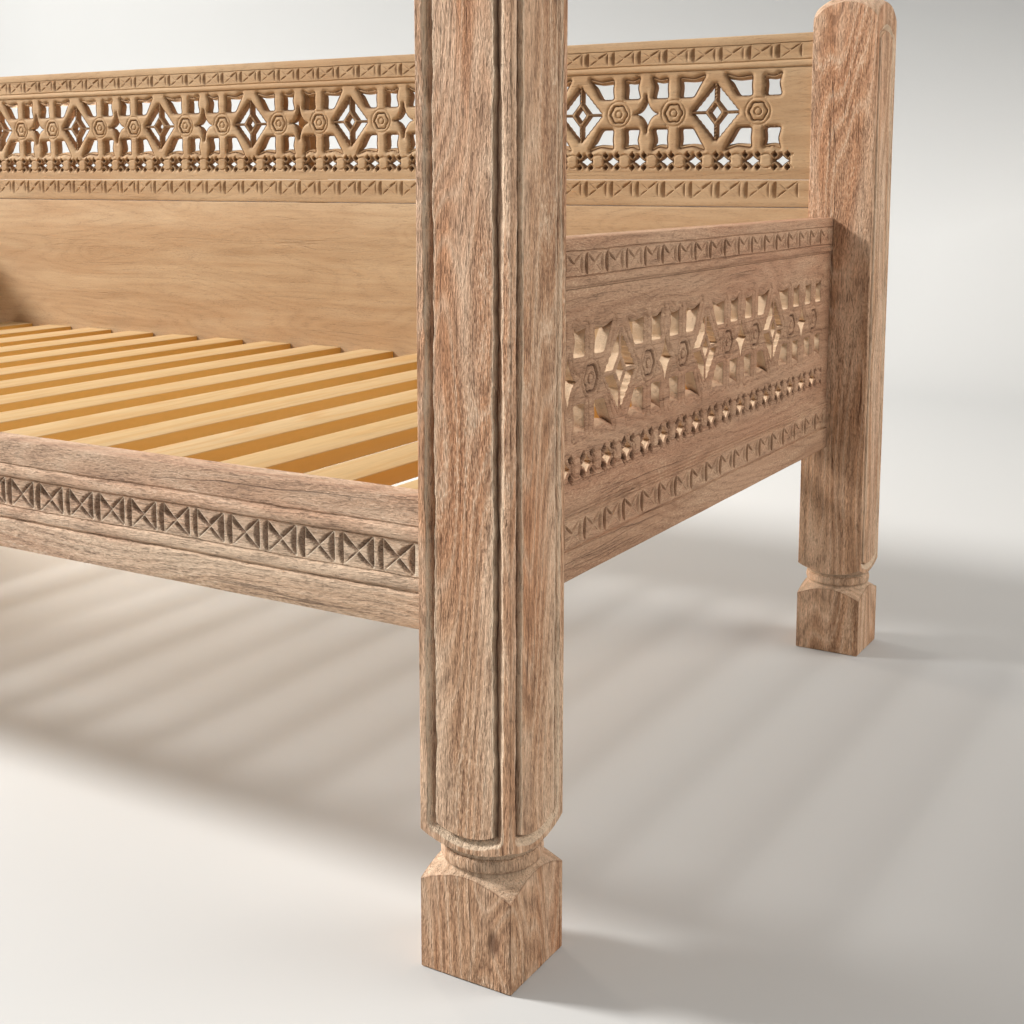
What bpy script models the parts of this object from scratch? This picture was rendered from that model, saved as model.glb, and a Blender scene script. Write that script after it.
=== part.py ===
"""A carved hardwood daybed: four square posts with turned necks and domed tops, a tall pierced back,
two lower pierced ends, a low front rail and a deck of loose slats, all tenoned and pegged together.
Metres, +Z up, the front at -Y. The origin is on the floor under the middle of the bed."""

import math

import bmesh
import bpy
from mathutils import Matrix, Vector

# The whole bed
LENGTH = 2.210
DEPTH = 1.166
FRAME_BOTTOM = 0.322
CLEARANCE = 0.0003

# Posts: a square foot block, a turned flare, neck bead and ovolo, a square shaft and a domed top
POST_WIDTH = 0.100
POST_ABOVE_BACK = 0.057
FOOT_HEIGHT = 0.0875
FLARE_RISE = 0.0165
NECK_INSET = 0.0038
BEAD_INSET = 0.0012
BEAD_HEIGHT = 0.0140
BEAD_FILLET = 0.0030
OVOLO_RISE = 0.0220
DOME_HEIGHT = 0.0660
TURNING_SPARE = 0.0045
TURNING_SIDES = 24
BEAD_STEPS = 3
OVOLO_STEPS = 4
DOME_STEPS = 5

# Rails and boards
BOARD_THICKNESS = 0.034
PIERCED_THICKNESS = 0.016
PIERCED_SETBACK = 0.003
FRONT_SETBACK = 0.020
FRONT_RAIL_HEIGHT = 0.126
END_INSET = 0.0075
END_RAISE = 0.005
END_BOTTOM_RAIL_HEIGHT = 0.072
END_TOP_RAIL_HEIGHT = 0.053
BACK_SETBACK = 0.010
BACK_BOARD_HEIGHT = 0.370
BACK_LOWER_RAIL_HEIGHT = 0.043
BACK_TOP_RAIL_HEIGHT = 0.051
BATTEN_WIDTH = 0.050
BATTEN_THICKNESS = 0.024

# Tenons on the boards' ends, and the blind pegs that hold them in the posts
TENON_THICKNESS = 0.014
TENON_SHOULDER = 0.006
TENON_CHEEK = 0.001
FRONT_TENON_LENGTH = 0.045
BACK_TENON_LENGTH = 0.040
MORTISE_WALL = 0.005
PEG_RADIUS = 0.004
PEG_SIDES = 12
PEG_STOP = 0.002
FRONT_PEG_FROM_EDGE = 0.022
BACK_PEG_FROM_SHOULDER = 0.025

# Deck
SLAT_BELOW_RAIL = 0.0235
SLAT_THICKNESS = 0.020
SLAT_WIDTH = 0.068
SLAT_COUNT = 16
SLAT_END_GAP = 0.0635
CLEAT_WIDTH = 0.025
CLEAT_HEIGHT = 0.035
SCREW_RADIUS = 0.0025
SCREW_HEAD_RADIUS = 0.005
SCREW_HEAD_DEPTH = 0.003
SCREW_POINT = 0.004
SCREW_STOP = 0.016
SCREW_SIDES = 10
SCREW_FROM_MIDDLE = 0.600

# Pierced frieze: rosettes with four flag-shaped openings, lattice diamonds and four-pointed stars in turn
FLAG_INNER = 0.013
FLAG_BASE = 0.0245
FLAG_TIP = 0.060
FLAG_NOTCH = 0.006
FLAG_WIDTH = 0.024
FLAG_LATTICE_WIDTH = 0.021
LATTICE_WIDTH = 0.041
LATTICE_HEIGHT = 0.047
LATTICE_STILE = 0.018
LATTICE_TIP_GAP = 0.017
LATTICE_HEART_WIDTH = 0.0185
LATTICE_HEART_HEIGHT = 0.0225
LATTICE_EYE_WIDTH = 0.0095
LATTICE_EYE_HEIGHT = 0.0125
LATTICE_BAR = 0.0025
STAR_WIDTH = 0.020
STAR_HEIGHT = 0.030
STAR_WAIST = 0.009
STAR_STILE = 0.012
ROSETTE_TO_POST = 0.060

# Row of small pierced stars under the frieze, and the plain wood above, between and below
ROW_PITCH = 0.049
ROW_STAR_WIDTH = 0.010
ROW_STAR_HEIGHT = 0.009
ROW_TO_POST = 0.035
BACK_MARGIN_ABOVE = 0.0055
BACK_MARGIN_BETWEEN = 0.008
BACK_MARGIN_BELOW = 0.0205
END_MARGIN_ABOVE = 0.0365
END_MARGIN_BETWEEN = 0.021
END_MARGIN_BELOW = 0.0355

# Places that several pieces share
HALF_LENGTH = LENGTH / 2
HALF_DEPTH = DEPTH / 2
INNER_X = HALF_LENGTH - POST_WIDTH
INNER_Y = HALF_DEPTH - POST_WIDTH
CLEAR_LENGTH = 2 * INNER_X
CLEAR_DEPTH = 2 * INNER_Y
FRONT_RAIL_Y = -HALF_DEPTH + FRONT_SETBACK + BOARD_THICKNESS / 2
END_X = INNER_X + END_INSET + BOARD_THICKNESS / 2
BACK_Y = INNER_Y + BACK_SETBACK + BOARD_THICKNESS / 2
TENON_HALF = TENON_THICKNESS / 2
END_TENON_LENGTH = BACK_SETBACK + BOARD_THICKNESS / 2 - TENON_HALF - MORTISE_WALL
FRIEZE_HALF = max(FLAG_TIP, LATTICE_HEIGHT, STAR_HEIGHT)
PATTERN_HEIGHT = 2 * (FRIEZE_HALF + ROW_STAR_HEIGHT)
BACK_PANEL_HEIGHT = PATTERN_HEIGHT + BACK_MARGIN_ABOVE + BACK_MARGIN_BETWEEN + BACK_MARGIN_BELOW
END_PANEL_HEIGHT = PATTERN_HEIGHT + END_MARGIN_ABOVE + END_MARGIN_BETWEEN + END_MARGIN_BELOW
END_BOTTOM = FRAME_BOTTOM + END_RAISE
END_PANEL_BOTTOM = END_BOTTOM + END_BOTTOM_RAIL_HEIGHT
END_TOP_RAIL_BOTTOM = END_PANEL_BOTTOM + END_PANEL_HEIGHT
END_TOP = END_TOP_RAIL_BOTTOM + END_TOP_RAIL_HEIGHT
BACK_LOWER_RAIL_BOTTOM = END_BOTTOM + BACK_BOARD_HEIGHT
BACK_PANEL_BOTTOM = BACK_LOWER_RAIL_BOTTOM + BACK_LOWER_RAIL_HEIGHT
BACK_TOP_RAIL_BOTTOM = BACK_PANEL_BOTTOM + BACK_PANEL_HEIGHT
BACK_TOP = BACK_TOP_RAIL_BOTTOM + BACK_TOP_RAIL_HEIGHT
POST_HEIGHT = BACK_TOP + POST_ABOVE_BACK
SLAT_TOP = FRAME_BOTTOM + FRONT_RAIL_HEIGHT - SLAT_BELOW_RAIL
ROSETTE_TO_STAR = FLAG_INNER + FLAG_WIDTH + STAR_STILE
LATTICE_AT_BASE = LATTICE_WIDTH * max(0, 1 - FLAG_BASE / LATTICE_HEIGHT)
ROSETTE_TO_DIAMOND = FLAG_INNER + FLAG_LATTICE_WIDTH + LATTICE_STILE + LATTICE_AT_BASE
FRIEZE_REPEAT = 2 * (ROSETTE_TO_STAR + ROSETTE_TO_DIAMOND)
SIDES = (("left", -1), ("right", 1))
DEPTHS = (("front", -1), ("back", 1))
WELD = 1e-6

for old in list(bpy.data.objects):
    bpy.data.objects.remove(old, do_unlink=True)


def linear(hex_colour):
    """Linear red, green, blue and alpha of an sRGB colour written as six hex digits."""
    parts = [int(hex_colour[i:i + 2], 16) / 255 for i in (0, 2, 4)]
    return [c / 12.92 if c <= 0.04045 else ((c + 0.055) / 1.055) ** 2.4 for c in parts] + [1.0]


def finish(name, hex_colour, roughness, metallic=0.0):
    """A plain Principled material."""
    made = bpy.data.materials.new(name)
    made.use_nodes = True
    shader = made.node_tree.nodes["Principled BSDF"]
    shader.inputs["Base Color"].default_value = linear(hex_colour)
    shader.inputs["Roughness"].default_value = roughness
    shader.inputs["Metallic"].default_value = metallic
    return made


POST_WOOD = finish("bleached_post_wood", "B08E72", 0.72)
RAIL_WOOD = finish("bleached_rail_wood", "B29479", 0.72)
BACK_WOOD = finish("golden_back_wood", "C8A173", 0.70)
SLAT_WOOD = finish("pine_slat_wood", "E2BD86", 0.60)
PEG_WOOD = finish("peg_wood", "8E6A4B", 0.70)
STEEL = finish("zinc_plated_steel", "B8B8B4", 0.35, 1.0)


def place(name, bm, material, location=(0, 0, 0), rotation=(0, 0, 0)):
    """Turns a bmesh into a named object standing where it belongs."""
    bmesh.ops.recalc_face_normals(bm, faces=bm.faces)
    mesh = bpy.data.meshes.new(name)
    bm.to_mesh(mesh)
    bm.free()
    mesh.materials.append(material)
    made = bpy.data.objects.new(name, mesh)
    made.location = location
    made.rotation_euler = rotation
    bpy.context.scene.collection.objects.link(made)
    return made


def box(size):
    """A block centred on its own origin."""
    bm = bmesh.new()
    bmesh.ops.create_cube(bm, size=1.0)
    bmesh.ops.scale(bm, verts=bm.verts, vec=size)
    return bm


def turned(profile, sides):
    """A solid of revolution about Z from (radius, height) points that start and end on the axis."""
    bm = bmesh.new()
    verts = [bm.verts.new((radius, 0, height)) for radius, height in profile]
    edges = [bm.edges.new(pair) for pair in zip(verts, verts[1:])]
    bmesh.ops.spin(
        bm, geom=verts + edges, cent=(0, 0, 0), axis=(0, 0, 1), angle=2 * math.pi, steps=sides,
        use_merge=True,
    )
    bmesh.ops.remove_doubles(bm, verts=bm.verts, dist=WELD)
    return bm


def cut(target, tool, operation="DIFFERENCE"):
    """Cuts the target with a hidden tool."""
    tool.hide_render = True
    tool.display_type = "WIRE"
    modifier = target.modifiers.new(tool.name, "BOOLEAN")
    modifier.operation = operation
    modifier.solver = "EXACT"
    modifier.object = tool


# Posts

def post_profile():
    """Outline of the turning, from the floor up. Where the post is square it stands outside the corners."""
    neck = POST_WIDTH / 2 - NECK_INSET
    bead = POST_WIDTH / 2 - BEAD_INSET
    corner = POST_WIDTH / math.sqrt(2)
    outside = corner + TURNING_SPARE
    flare_bottom = FOOT_HEIGHT - TURNING_SPARE * FLARE_RISE / (corner - neck)
    neck_bottom = FOOT_HEIGHT + FLARE_RISE
    points = [(0, -POST_WIDTH), (outside, -POST_WIDTH), (outside, flare_bottom), (neck, neck_bottom)]
    bead_bottom = neck_bottom + BEAD_FILLET
    for step in range(BEAD_STEPS + 1):
        angle = math.pi * step / BEAD_STEPS
        swell = (bead - neck) * math.sin(angle)
        points.append((neck + swell, bead_bottom + BEAD_HEIGHT * (1 - math.cos(angle)) / 2))
    ovolo_bottom = bead_bottom + BEAD_HEIGHT + BEAD_FILLET
    for step in range(OVOLO_STEPS + 1):
        angle = math.pi / 2 * step / OVOLO_STEPS
        rise = OVOLO_RISE * math.sin(angle / 2) * math.sqrt(2)
        points.append((neck + (outside - neck) * math.sin(angle), ovolo_bottom + rise))
    spring = POST_HEIGHT - DOME_HEIGHT
    for step in range(DOME_STEPS):
        angle = math.pi / 2 * step / DOME_STEPS
        points.append((outside * math.cos(angle), spring + DOME_HEIGHT * math.sin(angle)))
    return points + [(0, POST_HEIGHT)]


posts = {}
for depth_name, sy in DEPTHS:
    for side, sx in SIDES:
        at = (sx * (HALF_LENGTH - POST_WIDTH / 2), sy * (HALF_DEPTH - POST_WIDTH / 2), 0)
        block = box((POST_WIDTH, POST_WIDTH, POST_HEIGHT + POST_WIDTH))
        bmesh.ops.translate(block, verts=block.verts, vec=(0, 0, (POST_HEIGHT + POST_WIDTH) / 2))
        post = place(f"post_{depth_name}_{side}", block, POST_WOOD, at)
        facet_turn = (0, 0, math.pi / TURNING_SIDES)
        lathe = turned(post_profile(), TURNING_SIDES)
        cut(post, place(post.name + "_turning", lathe, POST_WOOD, at, facet_turn), "INTERSECT")
        posts[depth_name, side] = post


# Boards and rails

def add_tenon(bm, sign, height, length):
    """Draws a tenon out of the board's end at +X or -X, lower than the board and no thicker than the slot."""
    way = Vector((sign, 0, 0))
    far = max(v.co.dot(way) for v in bm.verts)
    end = [f for f in bm.faces if all(abs(v.co.dot(way) - far) < WELD for v in f.verts)][0]
    shoulder = bmesh.ops.extrude_discrete_faces(bm, faces=[end])["faces"][0]
    low, high = min(v.co.y for v in shoulder.verts), max(v.co.y for v in shoulder.verts)
    front, rear = max(-TENON_HALF, low + TENON_CHEEK), min(TENON_HALF, high - TENON_CHEEK)
    for v in shoulder.verts:
        v.co.y = front if v.co.y < (low + high) / 2 else rear
        v.co.z = math.copysign(height / 2, v.co.z)
    tip = bmesh.ops.extrude_discrete_faces(bm, faces=[shoulder])["faces"][0]
    bmesh.ops.translate(bm, verts=tip.verts, vec=way * length)


def board(name, bm, bottom, height, tenon_length, middle, along, material):
    """Finishes a board that lies along its own X: a tenon on each end, then set between two posts."""
    for sign in (-1, 1):
        add_tenon(bm, sign, height - 2 * TENON_SHOULDER, tenon_length)
    turn = math.pi / 2 if along == "y" else 0
    return place(name, bm, material, (middle[0], middle[1], bottom + height / 2), (0, 0, turn))


def plain(clear, height):
    """A plain board's body."""
    return box((clear - 2 * CLEARANCE, BOARD_THICKNESS, height - CLEARANCE))


def frieze_stations(half, centre):
    """Where the rosettes, diamonds and stars of a frieze fall, from its middle. A rosette stands on each
    side of every star and diamond, and the run ends where a rosette would come too near the post."""
    reach = half - ROSETTE_TO_POST
    first_star = 0.0 if centre == "star" else FRIEZE_REPEAT / 2
    count = int(reach / FRIEZE_REPEAT) + 2
    stars = [first_star + k * FRIEZE_REPEAT for k in range(-count, count)]
    diamonds = [at + FRIEZE_REPEAT / 2 for at in stars]
    rosettes = [at + sign * ROSETTE_TO_STAR for at in stars for sign in (-1, 1)]
    rosettes = [at for at in rosettes if abs(at) <= reach]
    last = max(rosettes)
    return rosettes, [at for at in diamonds if abs(at) < last], [at for at in stars if abs(at) < last]


def flag(at, side, up, by_lattice):
    """One of the four openings round a rosette: a swallow-tailed flag, slanted beside a diamond."""
    notched = FLAG_TIP - FLAG_NOTCH
    outer = FLAG_INNER + FLAG_WIDTH
    tip = ROSETTE_TO_DIAMOND - LATTICE_TIP_GAP
    outline = [(FLAG_INNER, FLAG_BASE), (FLAG_INNER, notched)]
    if by_lattice:
        outline += [((FLAG_INNER + tip) / 2, notched), (tip, FLAG_TIP)]
        outline += [(FLAG_INNER + FLAG_LATTICE_WIDTH, FLAG_BASE)]
    else:
        outline += [((FLAG_INNER + outer) / 2, notched), (outer, FLAG_TIP)]
        outline += [(outer - FLAG_NOTCH, (FLAG_BASE + FLAG_TIP) / 2), (outer, FLAG_BASE)]
    return [(at + side * u, up * v) for u, v in outline]


def diamond(at):
    """A lattice diamond: four slanted openings round a smaller lozenge, and the eye of that lozenge."""
    bar = LATTICE_BAR
    outer = (LATTICE_WIDTH * (1 - bar / LATTICE_HEIGHT), LATTICE_HEIGHT * (1 - bar / LATTICE_WIDTH))
    heart = (
        LATTICE_HEART_WIDTH * (1 - bar / LATTICE_HEART_HEIGHT),
        LATTICE_HEART_HEIGHT * (1 - bar / LATTICE_HEART_WIDTH),
    )
    quarter = [(outer[0], bar), (bar, outer[1]), (bar, heart[1]), (heart[0], bar)]
    openings = [[(at + su * u, sv * v) for u, v in quarter] for su in (-1, 1) for sv in (-1, 1)]
    return openings + [lozenge(at, 0, LATTICE_EYE_WIDTH, LATTICE_EYE_HEIGHT)]


def lozenge(at, row, width, height):
    """A diamond-shaped opening."""
    return [(at + width, row), (at, row + height), (at - width, row), (at, row - height)]


def star(at):
    """A four-pointed star opening."""
    points = []
    for quarter in range(4):
        tip = quarter * math.pi / 2
        dip = tip + math.pi / 4
        points.append((at + STAR_WIDTH * math.cos(tip), STAR_HEIGHT * math.sin(tip)))
        points.append((at + STAR_WAIST * math.cos(dip), STAR_WAIST * math.sin(dip)))
    return points


def pierced_outlines(half, height, centre, margin_above, margin_below):
    """The openings of a pierced board, as outlines measured from the board's middle."""
    rosettes, diamonds, stars = frieze_stations(half, centre)
    openings = []
    for at in rosettes:
        for side in (-1, 1):
            by_lattice = any(0 < side * (d - at) < FRIEZE_REPEAT / 2 for d in diamonds)
            openings += [flag(at, side, up, by_lattice) for up in (-1, 1)]
    for at in diamonds:
        openings += diamond(at)
    openings += [star(at) for at in stars]
    frieze = height / 2 - margin_above - FRIEZE_HALF
    moved = [[(u, v + frieze) for u, v in outline] for outline in openings]
    row = margin_below + ROW_STAR_HEIGHT - height / 2
    pairs = int((half - ROW_TO_POST) / ROW_PITCH + 0.5)
    for k in range(-pairs, pairs):
        moved.append(lozenge((k + 0.5) * ROW_PITCH, row, ROW_STAR_WIDTH, ROW_STAR_HEIGHT))
    return moved


def pierced(clear, height, outlines, face=-1):
    """The body of a thin board that is cut right through by the outlines, lying along X. It stands near the
    carved faces of its neighbours, which look to -Y, or to +Y where face is 1."""
    curve = bpy.data.curves.new("pierced", "CURVE")
    curve.dimensions = "2D"
    curve.fill_mode = "BOTH"
    curve.extrude = PIERCED_THICKNESS / 2
    half, tall = clear / 2 - CLEARANCE, (height - CLEARANCE) / 2
    rim = [(-half, -tall), (half, -tall), (half, tall), (-half, tall)]
    for outline in [rim] + outlines:
        spline = curve.splines.new("POLY")
        spline.points.add(len(outline) - 1)
        for point, (u, v) in zip(spline.points, outline):
            point.co = (u, v, 0, 1)
        spline.use_cyclic_u = True
    drawn = bpy.data.objects.new("pierced", curve)
    mesh = bpy.data.meshes.new_from_object(drawn)
    bm = bmesh.new()
    bm.from_mesh(mesh)
    bmesh.ops.remove_doubles(bm, verts=bm.verts, dist=WELD)
    bmesh.ops.rotate(bm, verts=bm.verts, cent=(0, 0, 0), matrix=Matrix.Rotation(math.pi / 2, 3, "X"))
    forward = (BOARD_THICKNESS - PIERCED_THICKNESS) / 2 - PIERCED_SETBACK
    bmesh.ops.translate(bm, verts=bm.verts, vec=(0, face * forward, 0))
    bpy.data.objects.remove(drawn)
    bpy.data.curves.remove(curve)
    bpy.data.meshes.remove(mesh)
    return bm


front_rail = board(
    "front_rail", plain(CLEAR_LENGTH, FRONT_RAIL_HEIGHT), FRAME_BOTTOM, FRONT_RAIL_HEIGHT,
    FRONT_TENON_LENGTH, (0, FRONT_RAIL_Y), "x", RAIL_WOOD,
)

# Back: a plain board, a carved rail, the pierced panel and a carved top rail, stacked edge to edge
back_holes = pierced_outlines(INNER_X, BACK_PANEL_HEIGHT, "star", BACK_MARGIN_ABOVE, BACK_MARGIN_BELOW)
back_stack = (
    ("back_board", plain(CLEAR_LENGTH, BACK_BOARD_HEIGHT), END_BOTTOM, BACK_BOARD_HEIGHT),
    (
        "back_lower_rail", plain(CLEAR_LENGTH, BACK_LOWER_RAIL_HEIGHT), BACK_LOWER_RAIL_BOTTOM,
        BACK_LOWER_RAIL_HEIGHT,
    ),
    (
        "back_pierced_panel", pierced(CLEAR_LENGTH, BACK_PANEL_HEIGHT, back_holes), BACK_PANEL_BOTTOM,
        BACK_PANEL_HEIGHT,
    ),
    ("back_top_rail", plain(CLEAR_LENGTH, BACK_TOP_RAIL_HEIGHT), BACK_TOP_RAIL_BOTTOM, BACK_TOP_RAIL_HEIGHT),
)
backs = {}
for name, body, bottom, height in back_stack:
    backs[name] = board(name, body, bottom, height, BACK_TENON_LENGTH, (0, BACK_Y), "x", BACK_WOOD)

# Batten behind the middle of the back, which ties its four boards together
batten_height = BACK_TOP - END_BOTTOM
batten_y = BACK_Y + BOARD_THICKNESS / 2 + CLEARANCE + BATTEN_THICKNESS / 2
place(
    "back_centre_batten", box((BATTEN_WIDTH, BATTEN_THICKNESS, batten_height)), BACK_WOOD,
    (0, batten_y, END_BOTTOM + batten_height / 2),
)

# Ends: a carved bottom rail, the pierced panel and a carved top rail
end_holes = pierced_outlines(INNER_Y, END_PANEL_HEIGHT, "diamond", END_MARGIN_ABOVE, END_MARGIN_BELOW)
ends = {}
for side, sx in SIDES:
    end_stack = (
        ("bottom_rail", plain(CLEAR_DEPTH, END_BOTTOM_RAIL_HEIGHT), END_BOTTOM, END_BOTTOM_RAIL_HEIGHT),
        (
            "pierced_panel", pierced(CLEAR_DEPTH, END_PANEL_HEIGHT, end_holes, -sx), END_PANEL_BOTTOM,
            END_PANEL_HEIGHT,
        ),
        ("top_rail", plain(CLEAR_DEPTH, END_TOP_RAIL_HEIGHT), END_TOP_RAIL_BOTTOM, END_TOP_RAIL_HEIGHT),
    )
    for level, body, bottom, height in end_stack:
        ends[level, side] = board(
            f"end_{level}_{side}", body, bottom, height, END_TENON_LENGTH, (sx * END_X, 0), "y", RAIL_WOOD
        )


# Mortises: one for the front rail, and one tall slot for each stack of boards

def mortise(post, name, mouth, way, depth, bottom, top):
    """Cuts a slot into a post, from the middle of its mouth along way, between two heights."""
    slot = TENON_THICKNESS + 2 * CLEARANCE
    reach = depth + CLEARANCE
    mouth_spare = POST_WIDTH / 2
    low, high = bottom + TENON_SHOULDER - CLEARANCE, top - TENON_SHOULDER + CLEARANCE
    run = reach + mouth_spare
    size = (run, slot, high - low) if way[0] else (slot, run, high - low)
    middle = Vector((mouth[0], mouth[1], (low + high) / 2)) + Vector(way) * (reach - mouth_spare) / 2
    cut(post, place(post.name + name, box(size), POST_WOOD, middle))


for side, sx in SIDES:
    mortise(
        posts["front", side], "_rail_mortise", (sx * INNER_X, FRONT_RAIL_Y), (sx, 0, 0), FRONT_TENON_LENGTH,
        FRAME_BOTTOM, FRAME_BOTTOM + FRONT_RAIL_HEIGHT,
    )
    mortise(
        posts["back", side], "_back_mortise", (sx * INNER_X, BACK_Y), (sx, 0, 0), BACK_TENON_LENGTH,
        END_BOTTOM, BACK_TOP,
    )
    for depth_name, sy in DEPTHS:
        mortise(
            posts[depth_name, side], "_end_mortise", (sx * END_X, sy * INNER_Y), (0, sy, 0), END_TENON_LENGTH,
            END_BOTTOM, END_TOP,
        )


# Pegs: blind, driven through one cheek of the mortise into the tenon. Those of the front rail start at
# the bottom of the end's mortise, where the end's tenon covers them, and those of the back start behind.

def add_peg(name, start, way, length, post, piece):
    """Drives a peg from start along way, and drills the post and the tenon for it."""
    turn = Vector(way).to_track_quat("Z", "Y").to_euler()
    peg = [(0, 0), (PEG_RADIUS, 0), (PEG_RADIUS, length), (0, length)]
    place(name, turned(peg, PEG_SIDES), PEG_WOOD, start, turn)
    wide, deep = PEG_RADIUS + CLEARANCE, length + CLEARANCE
    bore = [(0, -PEG_RADIUS), (wide, -PEG_RADIUS), (wide, deep), (0, deep)]
    tool = place(name + "_bore", turned(bore, PEG_SIDES), PEG_WOOD, start, turn)
    cut(post, tool)
    cut(piece, tool)


front_pegs = {
    "lower": FRAME_BOTTOM + FRONT_PEG_FROM_EDGE,
    "upper": FRAME_BOTTOM + FRONT_RAIL_HEIGHT - FRONT_PEG_FROM_EDGE,
}
back_pegs = {
    "board": END_BOTTOM + BACK_BOARD_HEIGHT / 2,
    "lower_rail": BACK_LOWER_RAIL_BOTTOM + BACK_LOWER_RAIL_HEIGHT / 2,
    "top_rail": BACK_TOP_RAIL_BOTTOM + BACK_TOP_RAIL_HEIGHT / 2,
}
end_pegs = {
    "bottom_rail": END_BOTTOM + END_BOTTOM_RAIL_HEIGHT / 2,
    "top_rail": END_TOP_RAIL_BOTTOM + END_TOP_RAIL_HEIGHT / 2,
}
front_start = -INNER_Y - END_TENON_LENGTH - CLEARANCE
front_length = front_start - (FRONT_RAIL_Y - TENON_HALF + PEG_STOP)
back_length = HALF_DEPTH - (BACK_Y - TENON_HALF + PEG_STOP)
end_length = END_X + TENON_HALF - PEG_STOP - INNER_X
for side, sx in SIDES:
    for level, height in front_pegs.items():
        add_peg(
            f"peg_front_rail_{level}_{side}", (sx * END_X, front_start, height), (0, -1, 0), front_length,
            posts["front", side], front_rail,
        )
    for level, height in back_pegs.items():
        peg_x = sx * (INNER_X + BACK_PEG_FROM_SHOULDER)
        add_peg(
            f"peg_back_{level}_{side}", (peg_x, HALF_DEPTH, height), (0, -1, 0), back_length,
            posts["back", side], backs["back_" + level],
        )
    for depth_name, sy in DEPTHS:
        peg_y = sy * (INNER_Y + END_TENON_LENGTH / 2)
        for level, height in end_pegs.items():
            add_peg(
                f"peg_end_{level}_{depth_name}_{side}", (sx * INNER_X, peg_y, height), (sx, 0, 0), end_length,
                posts[depth_name, side], ends[level, side],
            )

# Cleats along the front rail and the back board, screwed on, which carry the slats
rail_inner = FRONT_RAIL_Y + BOARD_THICKNESS / 2
back_inner = BACK_Y - BOARD_THICKNESS / 2
cleat_length = 2 * min(INNER_X, END_X - BOARD_THICKNESS / 2) - 2 * CLEARANCE
cleat_z = SLAT_TOP - SLAT_THICKNESS - CLEARANCE - CLEAT_HEIGHT / 2
shank = CLEAT_WIDTH + CLEARANCE + BOARD_THICKNESS - SCREW_STOP
screw = [
    (0, 0), (SCREW_HEAD_RADIUS, 0), (SCREW_RADIUS, SCREW_HEAD_DEPTH), (SCREW_RADIUS, shank - SCREW_POINT),
    (0, shank),
]
screw_bore = [(0, -CLEAT_WIDTH), (SCREW_HEAD_RADIUS + CLEARANCE, -CLEAT_WIDTH)]
screw_bore += [(radius + CLEARANCE, along) for radius, along in screw[1:-1]]
screw_bore += [(0, shank + CLEARANCE)]
cleats = (
    ("front", rail_inner + CLEARANCE + CLEAT_WIDTH / 2, -1, front_rail),
    ("back", back_inner - CLEARANCE - CLEAT_WIDTH / 2, 1, backs["back_board"]),
)
for depth_name, cleat_y, way, carrier in cleats:
    body = box((cleat_length, CLEAT_WIDTH, CLEAT_HEIGHT))
    cleat = place(f"slat_cleat_{depth_name}", body, SLAT_WOOD, (0, cleat_y, cleat_z))
    turn = Vector((0, way, 0)).to_track_quat("Z", "Y").to_euler()
    for side, sx in SIDES:
        start = (sx * SCREW_FROM_MIDDLE, cleat_y - way * CLEAT_WIDTH / 2, cleat_z)
        name = f"cleat_screw_{depth_name}_{side}"
        place(name, turned(screw, SCREW_SIDES), STEEL, start, turn)
        tool = place(name + "_bore", turned(screw_bore, SCREW_SIDES), STEEL, start, turn)
        cut(cleat, tool)
        cut(carrier, tool)

# Slats: loose pine boards laid across the two cleats
slat_length = back_inner - rail_inner - 2 * CLEARANCE
last_slat = END_X - BOARD_THICKNESS / 2 - SLAT_END_GAP - SLAT_WIDTH / 2
for k in range(SLAT_COUNT):
    slat_x = last_slat * (2 * k / (SLAT_COUNT - 1) - 1)
    at = (slat_x, (rail_inner + back_inner) / 2, SLAT_TOP - SLAT_THICKNESS / 2)
    place(f"slat_{k + 1:02d}", box((SLAT_WIDTH, slat_length, SLAT_THICKNESS)), SLAT_WOOD, at)
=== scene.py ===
"""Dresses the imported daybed: carved hardwood posts, rails, back and ends, and a deck of pine slats.
Metres, +Z up, the front at -Y, in the frame of the solids."""
import math

import bmesh
import bpy
import numpy as np
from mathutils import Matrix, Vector
from mathutils.geometry import delaunay_2d_cdt


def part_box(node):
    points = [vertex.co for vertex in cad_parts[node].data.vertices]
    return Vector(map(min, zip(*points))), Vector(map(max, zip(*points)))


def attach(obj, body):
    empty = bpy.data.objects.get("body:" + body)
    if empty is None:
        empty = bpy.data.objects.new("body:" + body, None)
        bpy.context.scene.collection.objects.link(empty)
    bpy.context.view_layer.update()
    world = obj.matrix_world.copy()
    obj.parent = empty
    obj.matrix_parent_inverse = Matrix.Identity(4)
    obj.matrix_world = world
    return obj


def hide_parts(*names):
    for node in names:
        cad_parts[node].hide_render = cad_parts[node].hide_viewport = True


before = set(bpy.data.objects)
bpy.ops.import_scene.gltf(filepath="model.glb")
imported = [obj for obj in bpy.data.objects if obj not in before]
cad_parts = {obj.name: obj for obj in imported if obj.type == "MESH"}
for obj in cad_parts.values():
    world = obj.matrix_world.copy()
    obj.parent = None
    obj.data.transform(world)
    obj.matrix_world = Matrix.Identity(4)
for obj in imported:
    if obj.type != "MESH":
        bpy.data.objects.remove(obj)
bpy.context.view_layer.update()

# Posts: four square hardwood posts, each cut from one baulk. The neck above the foot block and the dome
# are turned on a lathe, and the two outer faces are carved by hand with a groove round a raised field.
# The wood is scrubbed and bleached, so the pores and cracks stay open.
POST_HALF = 0.0496
POST_ARRIS = 0.0016
FOOT_CHAMFER = 0.0012
FOOT_TOP = 0.0875
FLARE_HOLLOW = 0.0007
CORNER = 0.0707
NECK = 0.0462
NECK_BOTTOM = 0.1040
BEAD_BOTTOM = 0.1070
BEAD_TOP = 0.1210
BEAD_SWELL = 0.0028
OVOLO_BOTTOM = 0.1240
OVOLO_RISE = 0.0220
OUTSIDE = 0.0752
DOME_SPRING = 0.954
DOME_RISE = 0.0655
FIELD_HALF = 0.0310
FIELD_BOTTOM = 0.1407
FIELD_BOTTOM_SWEEP = 0.0079
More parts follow.
